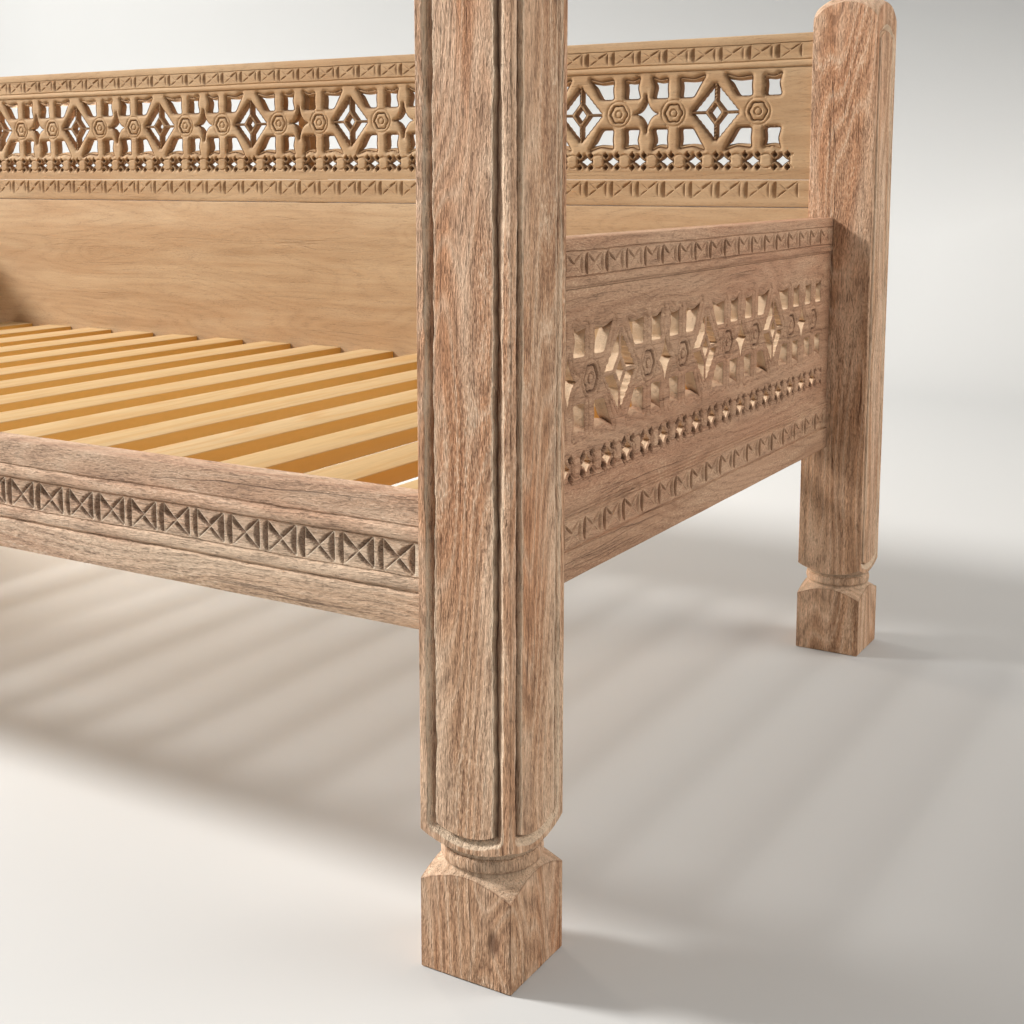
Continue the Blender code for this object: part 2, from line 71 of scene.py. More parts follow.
FIELD_TOP = 0.9620
FIELD_TOP_SWEEP = 0.0120
GROOVE_WIDTH = 0.0110
GROOVE_WALL = 0.0014
GROOVE_DEPTH = 0.0062
SHAFT_ROWS = 230


def linear(hex_colour):
    """Linear red, green, blue and alpha of an sRGB colour written as six hex digits."""
    parts = [int(hex_colour[i:i + 2], 16) / 255 for i in (0, 2, 4)]
    return [c / 12.92 if c <= 0.04045 else ((c + 0.055) / 1.055) ** 2.4 for c in parts] + [1.0]


def add(tree, kind, feeds=None, **settings):
    """Adds one shader node: its settings, then for each input a value or the output that feeds it."""
    made = tree.nodes.new(kind)
    for key, value in settings.items():
        setattr(made, key, value)
    for key, value in (feeds or {}).items():
        if isinstance(value, bpy.types.NodeSocket):
            tree.links.new(value, made.inputs[key])
        else:
            made.inputs[key].default_value = value
    return made


def scrubbed_hardwood(name, along, colours, seed, depth, vivid=1.0):
    """Open-grained hardwood, bleached and scrubbed, with its grain along one axis. Each figure of the wood is
    a noise stretched along the grain. The growth rings are the contour lines of a slow noise that bends round
    a few knots; pores and pits crowd along their dark sides, and flecks of limewash along their pale sides.
    Carving marks paint shade into the hollows (hollow), and lay the cut colour (cut) on sawn walls and as
    painted highlights on ridges and brinks. Fibres are drawn 1.6 mm wide, flecks and pits 1.4 mm and pores
    1.2 mm, coarser than life, so that they show."""
    made = bpy.data.materials.new(name)
    made.use_nodes = True
    tree = made.node_tree
    shader = tree.nodes["Principled BSDF"]
    tint = {key: linear(colour) for key, colour in colours.items()}
    spot = add(tree, "ShaderNodeTexCoord").outputs["Object"]
    drift = add(tree, "ShaderNodeTexNoise", {"Vector": spot, "Scale": 5.0, "Detail": 3.0}).outputs["Color"]
    sway = add(tree, "ShaderNodeVectorMath", {0: drift, 1: (-0.5, -0.5, -0.5)}, operation="ADD").outputs[0]
    sway = add(tree, "ShaderNodeVectorMath", {0: sway, "Scale": 0.009}, operation="SCALE").outputs[0]
    bent = add(tree, "ShaderNodeVectorMath", {0: spot, 1: sway}, operation="ADD").outputs[0]
    grain = {}
    for length in (2, 4, 7, 12, 40):
        scale = [1.0, 1.0, 1.0]
        scale[along] = 1 / length
        grain[length] = add(tree, "ShaderNodeMapping", {
            "Vector": bent, "Location": (seed, 0.37 * seed, 0.71 * seed), "Scale": scale}).outputs["Vector"]

    # Each noise: its stretch along the grain, its repeats to the metre across it, its detail and roughness.
    look = {}
    for key, length, repeats, detail, roughness in (
            ("zone", 7, 9.0, 3.0, 0.5), ("figure", 7, 12.0, 1.0, 0.4), ("worn", 4, 15.0, 3.0, 0.5),
            ("patch", 7, 24.0, 3.0, 0.5), ("split", 40, 26.0, 3.0, 0.6), ("streak", 40, 62.0, 4.0, 0.65),
            ("band", 40, 210.0, 2.0, 0.5), ("fibre", 40, 620.0, 3.0, 0.75), ("stroke", 4, 720.0, 2.0, 0.6),
            ("pores", 12, 850.0, 1.0, 0.5)):
        look[key] = add(tree, "ShaderNodeTexNoise", {
            "Vector": grain[length], "Scale": repeats, "Detail": detail, "Roughness": roughness,
            }).outputs["Fac"]

    knot = add(tree, "ShaderNodeTexVoronoi", {"Vector": grain[2], "Scale": 8.0}).outputs["Distance"]
    swirl = add(tree, "ShaderNodeMapRange", {
        "Value": knot, "From Min": 0.30, "From Max": 0.02}, interpolation_type="SMOOTHSTEP").outputs["Result"]
    heart = add(tree, "ShaderNodeMapRange", {
        "Value": knot, "From Min": 0.07, "From Max": 0.03}, interpolation_type="SMOOTHSTEP").outputs["Result"]
    rings = add(tree, "ShaderNodeMath", {
        0: swirl, 1: 0.12, 2: look["figure"]}, operation="MULTIPLY_ADD").outputs[0]
    rings = add(tree, "ShaderNodeMath", {0: rings, 1: 34.0}, operation="MULTIPLY").outputs[0]
    look["rings"] = add(tree, "ShaderNodeMath", {0: rings, 1: 1.0}, operation="PINGPONG").outputs[0]
    for mark in ("hollow", "cut"):
        look[mark] = add(tree, "ShaderNodeAttribute", attribute_name=mark).outputs["Fac"]

    # Each mask: what it reads, from where to where, and what it gives at the two ends of that span.
    for key, source, start, end, low, high in (
            ("line", "rings", 0.45, 0.0, 0.0, 1.0), ("glint", "rings", 0.60, 1.0, 0.0, 0.40 * vivid),
            ("early", "rings", 0.2, 0.9, 0.35, 1.2), ("late", "rings", 0.8, 0.1, 0.35, 1.2),
            ("tone", "streak", 0.36, 0.58, 0.0, 1.0), ("flush", "zone", 0.46, 0.60, 0.0, 0.8),
            ("limed", "patch", 0.54, 0.36, 0.0, 0.55), ("open", "patch", 0.52, 0.60, 0.0, 1.0),
            ("hair", "fibre", 0.34, 0.66, 1 - 0.13 * vivid, 1 + 0.13 * vivid),
            ("fleck", "stroke", 0.34, 0.66, 1 - 0.15 * vivid, 1 + 0.15 * vivid),
            ("thread", "band", 0.34, 0.66, 1 - 0.08 * vivid, 1 + 0.08 * vivid),
            ("rough", "worn", 0.44, 0.60, 0.12, vivid), ("chalk", "stroke", 0.53, 0.62, 0.0, 0.50),
            # The hollow mark darkens the wood towards the pore colour: painted shade in the carved recesses.
            ("pits", "stroke", 0.45, 0.36, 0.0, 0.45), ("painted_shade", "hollow", 0.05, 1.0, 0.0, 0.92)):
        look[key] = add(tree, "ShaderNodeMapRange", {
            "Value": look[source], "From Min": start, "From Max": end, "To Min": low, "To Max": high,
            }).outputs["Result"]
    pores = add(tree, "ShaderNodeMath", {
        0: look["line"], 1: 0.07, 2: look["pores"]}, operation="MULTIPLY_ADD").outputs[0]
    look["pores"] = add(tree, "ShaderNodeMapRange", {
        "Value": pores, "From Min": 0.60, "From Max": 0.72},
        interpolation_type="SMOOTHSTEP").outputs["Result"]
    split = add(tree, "ShaderNodeMath", {0: look["split"], 1: 0.5}, operation="SUBTRACT").outputs[0]
    split = add(tree, "ShaderNodeMath", {0: split}, operation="ABSOLUTE").outputs[0]
    cracks = add(tree, "ShaderNodeMapRange", {
        "Value": split, "From Min": 0.0060, "From Max": 0.0015},
        interpolation_type="SMOOTHSTEP").outputs["Result"]
    cracks = add(tree, "ShaderNodeMath", {0: cracks, 1: look["open"]}, operation="MULTIPLY").outputs[0]
    look["cracks"] = add(tree, "ShaderNodeMath", {0: cracks, 1: heart}, operation="MAXIMUM").outputs[0]
    # The cut mark lays the cut colour: pale lathe-cut wood and sawn walls, painted highlights on the posts'
    # brinks and groove lips and on the rails' ridges, and painted shade on the walls of the back panel's
    # openings.
    for key, source, share in (
            ("chalk", "chalk", look["rough"]), ("chalk", "chalk", look["early"]),
            ("pits", "pits", look["rough"]), ("pits", "pits", look["late"]),
            ("ring_tint", "line", 0.20 * vivid), ("stain", "pores", 0.36 * vivid),
            ("seam", "cracks", 0.75 * vivid ** 2), ("cut_and_painted_light", "cut", 0.95)):
        look[key] = add(tree, "ShaderNodeMath", {0: look[source], 1: share}, operation="MULTIPLY").outputs[0]

    # Each mask lays its colour over the wood below it, or, where it has none, only lightens and darkens that.
    colour = tint["dark"]
    for key, over in (
            ("tone", "mid"), ("flush", "blush"), ("limed", "pale"), ("glint", "pale"), ("ring_tint", "pore"),
            ("hair", None), ("fleck", None), ("thread", None), ("chalk", "cut"), ("pits", "pore"),
            ("stain", "pore"), ("seam", "pore"), ("painted_shade", "pore"), ("cut_and_painted_light", "cut")):
        if over:
            colour = add(tree, "ShaderNodeMix", {
                0: look[key], 6: colour, 7: tint[over]}, data_type="RGBA").outputs[2]
        else:
            colour = add(tree, "ShaderNodeVectorMath", {
                0: colour, "Scale": look[key]}, operation="SCALE").outputs[0]
    tree.links.new(colour, shader.inputs["Base Color"])

    height = 0.0
    for key, weight in (
            ("fibre", 0.35), ("stroke", 0.70), ("line", -0.15), ("band", 0.22), ("pores", -0.45),
            ("cracks", -1.2)):
        height = add(tree, "ShaderNodeMath", {
            0: look[key], 1: weight, 2: height}, operation="MULTIPLY_ADD").outputs[0]
    bump = add(tree, "ShaderNodeBump", {"Height": height, "Strength": 0.9, "Distance": depth})
    tree.links.new(bump.outputs["Normal"], shader.inputs["Normal"])
    shader.inputs["Roughness"].default_value = 0.76
    shader.inputs["Specular IOR Level"].default_value = 0.28
    return made


def grid_triangles(rows, columns, wrap_rows=False, wrap_columns=False, other_way=False):
    """Triangles of a grid of points stored row by row. Each cell is split along its rising diagonal, or
    along its falling one where other_way is true. Rows go up and columns go right, seen from outside."""
    r = np.arange(rows if wrap_rows else rows - 1)[:, None]
    c = np.arange(columns if wrap_columns else columns - 1)[None, :]
    low, high = r * columns, (r + 1) % rows * columns
    right = (c + 1) % columns
    a, b, d, e = low + c, low + right, high + c, high + right
    other = np.broadcast_to(np.asarray(other_way), a.shape)[..., None]
    first = np.where(other, np.stack([a, b, d], -1), np.stack([a, b, e], -1))
    second = np.where(other, np.stack([b, e, d], -1), np.stack([a, e, d], -1))
    return np.concatenate([first.reshape(-1, 3), second.reshape(-1, 3)])


def skin(name, points, triangles, material, slot, *nodes, crease=32, marks=None):
    """A welded mesh piece from arrays of points and triangles, smooth except where it bends by more than the
    crease angle, with carving marks for its material. It rides on the bed and stands for the CAD nodes that
    it names."""
    mesh = bpy.data.meshes.new(name)
    mesh.vertices.add(len(points))
    mesh.vertices.foreach_set("co", np.asarray(points, np.float32).ravel())
    mesh.loops.add(triangles.size)
    mesh.loops.foreach_set("vertex_index", triangles.astype(np.int32).ravel())
    mesh.polygons.add(len(triangles))
    mesh.polygons.foreach_set("loop_start", np.arange(0, triangles.size, 3, dtype=np.int32))
    mesh.update(calc_edges=True)
    for mark, values in (marks or {}).items():
        mesh.attributes.new(mark, "FLOAT", "POINT").data.foreach_set("value", np.asarray(values, np.float32))
    bm = bmesh.new()
    bm.from_mesh(mesh)
    bmesh.ops.remove_doubles(bm, verts=bm.verts, dist=2e-6)
    bmesh.ops.recalc_face_normals(bm, faces=bm.faces)
    bm.to_mesh(mesh)
    bm.free()
    mesh.polygons.foreach_set("use_smooth", np.ones(len(mesh.polygons), bool))
    mesh.set_sharp_from_angle(angle=math.radians(crease))
    mesh.materials.append(material)
    piece = bpy.data.objects.new(name, mesh)
    bpy.context.scene.collection.objects.link(piece)
    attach(piece, "root")
    if nodes:
        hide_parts(*nodes)
    return piece


def post_skin(centre, carved, seed):
    """Points, triangles and carving marks of a post. Columns run round the square, with rounded arrises, and
    rows run up. Where the lathe cut deeper than the square, a point moves in along its ray from the axis to
    the turned radius, and the rows bend so that one of them lies on each edge between turned and sawn wood.
    A carved face sinks by a depth that depends on the distance to the field's outline: a steep wall beside
    the field, then a long slope back up to the border."""
    flat = POST_HALF - POST_ARRIS
    fine = np.array([0, 0.0075, 0.015, 0.022, 0.0275, 0.0301, 0.0308, 0.0313, 0.0324, 0.034, 0.036, 0.0385,
                     0.0405, 0.042, 0.0425, 0.045, flat])
    fine = np.concatenate([-fine[:0:-1], fine])
    coarse = np.linspace(-flat, flat, 17)
    swing = np.radians([22.5, 45, 67.5])
    across, out, face, sunk = [], [], [], []
    for k in range(4):
        flats = fine if carved[k] else coarse
        across.append(np.concatenate([flats, flat + POST_ARRIS * np.sin(swing)]))
        out.append(np.concatenate([np.full(len(flats), POST_HALF), flat + POST_ARRIS * np.cos(swing)]))
        face.append(np.full(len(flats) + 3, k))
        sunk.append(np.concatenate([np.full(len(flats), float(carved[k])), np.zeros(3)]))
    across, out, face, sunk = (np.concatenate(part)[None, :] for part in (across, out, face, sunk))
    reach = np.hypot(across, out)
    sweep = np.minimum(1, np.abs(across) / FIELD_HALF) ** 2
    low_edge = FIELD_BOTTOM + FIELD_BOTTOM_SWEEP * sweep
    high_edge = FIELD_TOP - FIELD_TOP_SWEEP * sweep
    flare = FOOT_TOP + (NECK_BOTTOM - FOOT_TOP) * np.clip((CORNER - reach) / (CORNER - NECK), 0, 1)
    turn = np.arcsin(np.clip((reach - NECK) / (OUTSIDE - NECK), 0, 1))
    dome = np.arccos(np.clip(reach / OUTSIDE, 0, 1))
    heights, radii = [], []

    def rows(fractions, height, radius=lambda f: reach + 0 * f):
        """Adds rows: height and radius are functions of a fraction that goes up the piece. A row that is
        given no radius is sawn, and stays on the square."""
        f = np.asarray(fractions)[:, None]
        heights.append(np.broadcast_to(height(f), (len(f), reach.shape[1])))
        radii.append(np.broadcast_to(radius(f), (len(f), reach.shape[1])))

    rows([0, 1], lambda f: FOOT_CHAMFER * f, lambda f: reach - FOOT_CHAMFER * (1 - f))
    rows([*np.linspace(0.02, 0.93, 11), 0.98, 1], lambda f: flare * f)
    rows(np.linspace(0, 1, 8)[1:],
         lambda f: flare + (NECK_BOTTOM - flare) * f - FLARE_HOLLOW * np.sin(np.pi * f),
         lambda f: reach + (NECK - reach) * f)
    rows(np.linspace(0, 1, 11),
         lambda f: BEAD_BOTTOM + (BEAD_TOP - BEAD_BOTTOM) * (1 - np.cos(np.pi * f)) / 2,
         lambda f: NECK + BEAD_SWELL * np.sin(np.pi * f))
    rows(np.linspace(0, 1, 12), lambda f: OVOLO_BOTTOM + OVOLO_RISE * np.sqrt(2) * np.sin(turn * f / 2),
         lambda f: NECK + (reach - NECK) * np.sin(turn * f) / np.maximum(np.sin(turn), 1e-6))
    start = OVOLO_BOTTOM + OVOLO_RISE * np.sqrt(2) * np.sin(turn / 2)
    foot = np.maximum(low_edge - GROOVE_WIDTH, start + 0.0005)
    rows([0.35, 0.75, 1], lambda f: start + (foot - start) * f)
    wall = np.maximum(low_edge - GROOVE_WALL, foot + 0.001)
    rows(np.linspace(0, 1, 10)[1:], lambda f: foot + (wall - foot) * f)
    rows([0.5, 1, 1.6, 3, 5, 8], lambda f: wall + (np.maximum(low_edge, wall + 0.0005) - wall) * f)
    begin, end = low_edge + 0.012, high_edge - 0.008
    rows(np.linspace(0, 1, SHAFT_ROWS), lambda f: begin + (end - begin) * f)
    rows([-0.004, -0.001, 0, 0.0007, 0.0014, 0.003, 0.005, 0.007, 0.009, GROOVE_WIDTH],
         lambda f: high_edge + f)
    border, peak = high_edge + GROOVE_WIDTH, DOME_SPRING + DOME_RISE * np.sin(dome)
    rows([0.3, 0.6, 0.85, 1], lambda f: border + (peak - border) * f)
    rows(np.linspace(0, 0.97, 16)[1:],
         lambda f: DOME_SPRING + DOME_RISE * np.sin(dome + (np.pi / 2 - dome) * f),
         lambda f: OUTSIDE * np.cos(dome + (np.pi / 2 - dome) * f))
    z, radius = np.concatenate(heights), np.concatenate(radii)

    beside = np.maximum(np.abs(across) - FIELD_HALF, 0)
    beyond = np.maximum(np.maximum(low_edge - z, z - high_edge), 0)
    away = np.hypot(beside, beyond)
    steep = np.clip(away / GROOVE_WALL, 0, 1)
    slope = np.clip(1 - (away - GROOVE_WALL) / (GROOVE_WIDTH - GROOVE_WALL), 0, 1) ** 1.15
    depth = GROOVE_DEPTH * np.minimum(steep, slope) * sunk
    sawn = radius >= reach - 1e-9
    phase = 2 * face + 5 * np.sign(across) * (1 + away / 0.012)
    wander = sum(size * np.sin(2 * np.pi * z / wave + seed * wave * 90 + phase)
                 for size, wave in ((0.0006, 0.21), (0.0004, 0.077), (0.00035, 0.043), (0.00025, 0.019)))
    held = np.clip((POST_HALF - np.abs(across)) / 0.006, 0, 1) * np.clip(np.abs(across) / 0.02, 0, 1) * sunk
    ripple = 0.00012 * (1 + np.sin(23 * z + 90 * across + seed)) * sawn
    u = across + np.where(sawn, wander * held * np.sign(across), 0)
    v = out - np.where(sawn, depth + ripple, 0)
    u, v = u * radius / reach, v * radius / reach
    east, north = np.array([1, 0, -1, 0])[face], np.array([0, 1, 0, -1])[face]
    x, y = u * east + v * north, u * north - v * east
    points = np.stack([x + centre[0], y + centre[1], z], -1).reshape(-1, 3)
    count, around = z.shape
    ring = np.arange(around)
    after = (ring + 1) % around
    under = np.stack([after, ring, np.full(around, len(points))], -1)
    above = np.stack([ring, after, np.full(around, len(points) + 1)], -1)
    above[:, :2] += (count - 1) * around
    triangles = np.concatenate([grid_triangles(count, around, wrap_columns=True), under, above])
    points = np.concatenate([points, [[*centre, 0], [*centre, z.max() + 0.0002]]])

    # Painted shade lies in the grooves, in the turned quirks, at the flare's edge and in a band along the
    # field's right edge, and a dark line runs down the foot block's arrises. Painted highlights lie on the
    # groove's lip and on the field's brink, the slopes of the grooves above and below the field are paler,
    # and so is the wood where the lathe cut.
    quirks = np.exp(-((z - BEAD_BOTTOM) / 0.0018) ** 2) + np.exp(-((z - OVOLO_BOTTOM + 0.001) / 0.0018) ** 2)
    deepest = np.clip((depth / GROOVE_DEPTH - 0.72) / 0.25, 0, 1)
    lip = np.clip((away - 0.0068) / 0.0016, 0, 1) * np.clip(depth / 0.0004, 0, 1)
    upright = beside / np.maximum(away, 1e-9)
    slope_shade = 0.5 * upright * np.clip(depth / 0.0022, 0, 1) * (1 - lip)
    groove_and_quirk_shade = np.where(sawn, np.maximum(0.9 * deepest * (0.5 + 0.5 * upright), slope_shade), 0.6 * quirks)
    dark_edges = 0.5 * (np.abs(across) > flat + 1e-6) * (z <= flare + 1e-6)
    dark_edges = np.maximum(dark_edges, 0.4 * (np.abs(z - flare) < 1e-5))
    shade_band = np.clip(np.sin(31 * z + seed) + np.sin(73 * z + 2 * seed) + 0.6 * np.sin(190 * z) - 0.5, 0, 1)
    shade_band = 0.5 * shade_band * np.exp(-((across - 0.0282) / 0.0034) ** 2) * sunk * (away <= 0)
    hollow = np.maximum(groove_and_quirk_shade, np.maximum(dark_edges, shade_band))
    # Painted highlights on the field's brink and the groove's lip.
    brink = np.exp(-((np.abs(across) - FIELD_HALF + 0.0002) / 0.0007) ** 2) * sunk * (beyond <= 0)
    cut_and_painted_light = 0.7 * np.maximum(lip, (1 - upright) * np.clip(depth / 0.0008, 0, 1) * (1 - deepest)) + 0.95 * brink
    cut_and_painted_light = np.where(sawn, np.clip(cut_and_painted_light, 0, 1), np.where((z > BEAD_BOTTOM) & (z < BEAD_TOP), 0.12, 0.32))
    return points, triangles, {"hollow": np.append(hollow, [0, 0]), "cut": np.append(cut_and_painted_light, [0, 0])}


# Bleached teak, scrubbed along the grain: dry pinkish brown, with lime left white in the open pores.
post_wood = scrubbed_hardwood(
    "bleached_teak_post", 2, {"dark": "BA8F6E", "mid": "CFA583", "pale": "EBCDB0", "blush": "C78E67",
                              "pore": "643F29", "cut": "EED8BC"}, seed=3.1, depth=0.0040)
for depth_name, y_side in (("front", -1), ("back", 1)):
    for side, x_side in (("left", -1), ("right", 1)):
        node = f"post_{depth_name}_{side}"
        low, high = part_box(node)
        middle = ((low.x + high.x) / 2, (low.y + high.y) / 2)
        # Faces in order: front, right, back, left. Only the two that look outwards are carved.
        carved = (y_side < 0, x_side > 0, y_side > 0, x_side < 0)
        points, triangles, marks = post_skin(middle, carved, 1.7 * x_side + 2.9 * y_side)
        skin("carved_" + node, points, triangles, post_wood, "post_wood", node, marks=marks)

# Front rail: one hardwood plank tenoned into the posts. Its face is run with two beads, and the band between
# them is chip-carved with a knife: squares whose diagonals stand up between five chips, and one tall chip
# between two squares.
RAIL_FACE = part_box("front_rail")[0].y
LONG_BOARD = 2.0102
BOARD_THICKNESS = 0.034
BOARD_EASE = 0.001
CHIP_PITCH = 0.04727
CHIP_SQUARE = 0.0358
CHIP_STRIP = CHIP_PITCH - CHIP_SQUARE
CHIP_DEPTH = 0.0058
STRIP_CHIP = 0.0082
STRIP_STOP = 0.95
STRIP_CELLS = np.array([0, 0.12, 0.28, 0.36, 0.46, 0.58, 0.70, 0.82, 0.89, STRIP_STOP])
EVEN_HABIT = (1, 1, 1, 1, 1)


def bead(low, high, base, crown, steps=7):
    """Profile of a half-round bead between two heights: (height, relief) points from the bottom up."""
    return [(low + (high - low) * (k + 1) / 2, base + (crown - base) * math.sqrt(max(0, 1 - k * k)))
            for k in np.linspace(-1, 1, steps)]


def chip_band(s, z, start, count, low, high, depth, seed, habit):
    """How deep the knife went at each place of a band. Every chip has a straight stop cut on its right and a
    bowed edge on its left, and falls from the bowed edge to the stop cut: depth times the part of the way
    across. A square has chips to the left of each half of its two diagonals and of its right edge, which
    leaves the diagonals standing as an X, and the strip between two squares has one tall chip. The second
    result marks the ridges beside the stop cuts, which are painted pale as highlights. The habit widens or
    narrows each of a square's five chips, as the carver's hand differs from board to board."""
    half_width, half_height = CHIP_SQUARE / 2, (high - low) / 2
    place = (s - start) / CHIP_PITCH
    number = np.clip(np.floor(place + 1e-9), 0, count - 1).astype(int)
    along = (place - number) * CHIP_PITCH
    q = np.clip((z - (low + high) / 2) / half_height, -1, 1)
    p = (along - half_width) / half_width
    spread = np.random.default_rng(seed)
    uneven = spread.uniform(0.85, 1.12, (count, 6))[number]
    up, across = np.clip(np.abs(q), 0, 1), np.abs(p)
    bow = np.clip(4 * up * (1 - up), 0, 1) ** 0.6
    belly = np.clip(1 - up ** 2.2, 0, 1) * (1 - 0.45 * np.clip(1 - up, 0, 1) ** 4)
    left = (p < 0) & (across >= up)
    in_square = p <= 1 + 1e-9
    # Where each chip may lie, how far a place is to the left of its stop cut, and its greatest width.
    chips = (
        (left & (q >= 0), -up - p, 0.0102 * belly),
        (left & (q < 0), -up - p, 0.0046 * belly),
        ((q > 0) & (up >= across), up - p, 0.0078 * bow),
        ((q < 0) & (up >= across), up - p, 0.0042 * bow),
        ((p > 0) & (across >= up), 1 - p, 0.0086 * np.clip(1 - q * q, 0, 1) ** 0.7),
    )
    cut = np.zeros_like(p)
    for k, (where, away, width) in enumerate(chips):
        away = away * half_width
        width = np.maximum(width * uneven[..., k] * habit[k], 1e-6)
        fall = np.clip(1 - away / width, 0, 1) ** 0.85 * width * 0.56
        cut = np.where(where & (away > 2e-5) & in_square, np.maximum(cut, fall), cut)
    strip_place = (along - CHIP_SQUARE) / CHIP_STRIP
    width = np.maximum(STRIP_CHIP * uneven[..., 5] * np.clip(1 - q * q, 0, 1) ** 0.4, 1e-6)
    away = (STRIP_STOP - strip_place) * CHIP_STRIP
    tall = np.clip(1 - away / width, 0, 1) ** 0.85 * width * 0.62
    tall = np.where(~in_square & (away > 2e-5), tall, 0)
    cut = np.where(number < count - 1, np.maximum(cut, tall), np.where(in_square, cut, 0))
    inside = (place >= -1e-9) & (place <= count) & (z > low + 1e-6) & (z < high - 1e-6)
    ridge = (np.abs(across - up) < 2e-3) | (np.abs(p - 1) < 2e-3) | (np.abs(strip_place - STRIP_STOP) < 2e-3)
    return np.where(inside, cut * depth / CHIP_DEPTH, 0), np.where(inside & ridge & (up < 0.96), 0.75, 0)


def with_back(profile):
    """The (height, relief) points up a plank's face, then the four of its flat back with eased edges."""
    bottom, top = profile[0][0], profile[-1][0]
    inner = -BOARD_THICKNESS + BOARD_EASE
    return np.array(list(profile) + [(top, inner), (top - BOARD_EASE, -BOARD_THICKNESS),
                                     (bottom + BOARD_EASE, -BOARD_THICKNESS), (bottom, inner)])


def closed_plank(ss, nn, zz, other_way=False):
    """Points and triangles of a plank from the grids of its surface: rows go once round its section and
    columns go along it. Each end is a fan of triangles round the middle of the section."""
    count, columns = ss.shape
    points = np.stack([ss, nn, zz], -1).reshape(-1, 3)
    loop = np.arange(count) * columns
    ahead = np.roll(loop, -1)
    ends = [[s, -BOARD_THICKNESS / 2, (zz.min() + zz.max()) / 2] for s in (ss.min(), ss.max())]
    first = np.stack([loop, ahead, np.full(count, len(points))], -1)
    last = np.stack([ahead, loop, np.full(count, len(points) + 1)], -1)
    last[:, :2] += columns - 1
    triangles = grid_triangles(count, columns, wrap_rows=True, other_way=other_way)
    return np.concatenate([points, ends]), np.concatenate([triangles, first, last])


def banded_board(length, profile, band, seed, cells=16, strip=STRIP_CELLS, habit=EVEN_HABIT, ridge_highlight=1.0,
                 chip_shade=1.0, quirk_shade=0.3):
    """Points, triangles and carving marks of a board along s with its carved face towards n. The profile
    gives (height, relief) points up the face, the band gives (low, high, relief, squares, depth). Columns
    are set on the squares' edges and cells are split along the squares' diagonals, so the ridges stay sharp.
    The last three arguments are how pale the ridges are painted, as highlights, and how dark the chips and
    the mouldings' quirks are painted, as shade."""
    low, high, relief, count, depth = band
    start = -count * CHIP_PITCH / 2 + CHIP_STRIP / 2
    period = np.concatenate([np.arange(cells) / cells * CHIP_SQUARE, CHIP_SQUARE + strip * CHIP_STRIP])
    s = (start + CHIP_PITCH * np.arange(count)[:, None] + period).ravel()
    finish = start + CHIP_PITCH * (count - 1) + CHIP_SQUARE
    s = s[s < finish - 1e-9]
    half = length / 2
    s = np.concatenate([[-half, -half + BOARD_EASE], s, [finish, half - BOARD_EASE, half]])
    below = [point for point in profile if point[0] < low]
    above = [point for point in profile if point[0] > high]
    outline = with_back(below + [(low + (high - low) * k / cells, relief) for k in range(cells + 1)] + above)
    ss, zz = np.meshgrid(s, outline[:, 0])
    nn = np.repeat(outline[:, 1:], len(s), 1)
    front = np.arange(len(outline))[:, None] < len(outline) - 4
    chips, ridges = chip_band(ss, zz, start, count, low, high, depth, seed, habit)
    # Painted highlights on the ridges, and painted shade in the mouldings' quirks and in the chips.
    chips, ridges = np.where(front, chips, 0), np.where(front, ridge_highlight * ridges, 0)
    quirk = np.clip(-nn / 0.0046, 0, 1) ** 4 * np.where(front & ((zz < low) | (zz > high)), quirk_shade, 0)
    hollow = chip_shade * np.clip(chips / 0.0007, 0, 1) * (0.76 + 0.24 * np.clip(chips / depth, 0, 1))
    worn = 0.00025 * np.sin(41 * ss + 3 * seed) * np.sin(150 * zz + 7 * ss + seed) - 0.00025
    nn = nn - chips + np.where(front, worn, 0)
    drift = 0.0004 * np.sin(23.0 * ss + seed) + 0.0002 * np.sin(131.0 * ss + 2 * seed)
    zz = zz + np.where(front & (zz > zz.min() + 0.003) & (zz < zz.max() - 0.003), drift, 0)
    column = np.arange(len(s) - 1) - 2
    row = np.arange(len(outline)) - len(below)
    across = np.where((column >= 0) & (column % len(period) < cells), column % len(period), -99)[None, :]
    up = np.where((row >= 0) & (row < cells), row, -99)[:, None]
    falling = (across >= 0) & (up >= 0) & ((across < cells // 2) != (up < cells // 2))
    marks = {"hollow": np.append(np.maximum(hollow, quirk), [0, 0]), "cut": np.append(ridges, [0, 0])}
    return *closed_plank(ss, nn, zz, falling), marks


def stand(points, origin, along):
    """Moves (s, n, z) points into the bed: s runs along a direction in plan, and n looks to its right."""
    ax, ay = along
    s, n, z = np.asarray(points).T
    return np.stack([origin[0] + ax * s + ay * n, origin[1] + ay * s - ax * n, z], -1)


# The same bleached teak, paler and calmer: the carved band stands out by painted shade in its knife cuts.
rail_wood = scrubbed_hardwood(
    "bleached_teak_rail", 0, {"dark": "C8A586", "mid": "D3B295", "pale": "E6CCB1", "blush": "CFA78A",
                              "pore": "533828", "cut": "F0DFC8"}, seed=5.3, depth=0.0030, vivid=0.7)
rail_profile = [(0.3220, -0.0020), (0.3226, -0.0010), (0.3240, -0.0006), (0.3300, -0.0004), (0.3420, -0.0004),
                (0.3532, -0.0006), (0.3546, -0.0014), (0.3552, -0.0030), (0.3562, -0.0042)]
rail_profile += bead(0.3568, 0.3706, -0.0040, -0.0008)
rail_profile += bead(0.4048, 0.4186, -0.0042, -0.0001)
rail_profile += [(0.4192, -0.0046), (0.4210, -0.0036), (0.4300, -0.0034), (0.4400, -0.0034),
                 (0.4462, -0.0036), (0.4476, -0.0044), (0.4480, -0.0058)]
points, triangles, marks = banded_board(
    LONG_BOARD, rail_profile, (0.3715, 0.4039, -0.0030, 42, 0.0060), seed=11, cells=24,
    habit=(1.4, 1.2, 1.0, 2.0, 0.95), chip_shade=0.84)
skin("carved_front_rail", stand(points, (0, RAIL_FACE), (1, 0)), triangles, rail_wood, "rail_wood",
     "front_rail", crease=24, marks=marks)

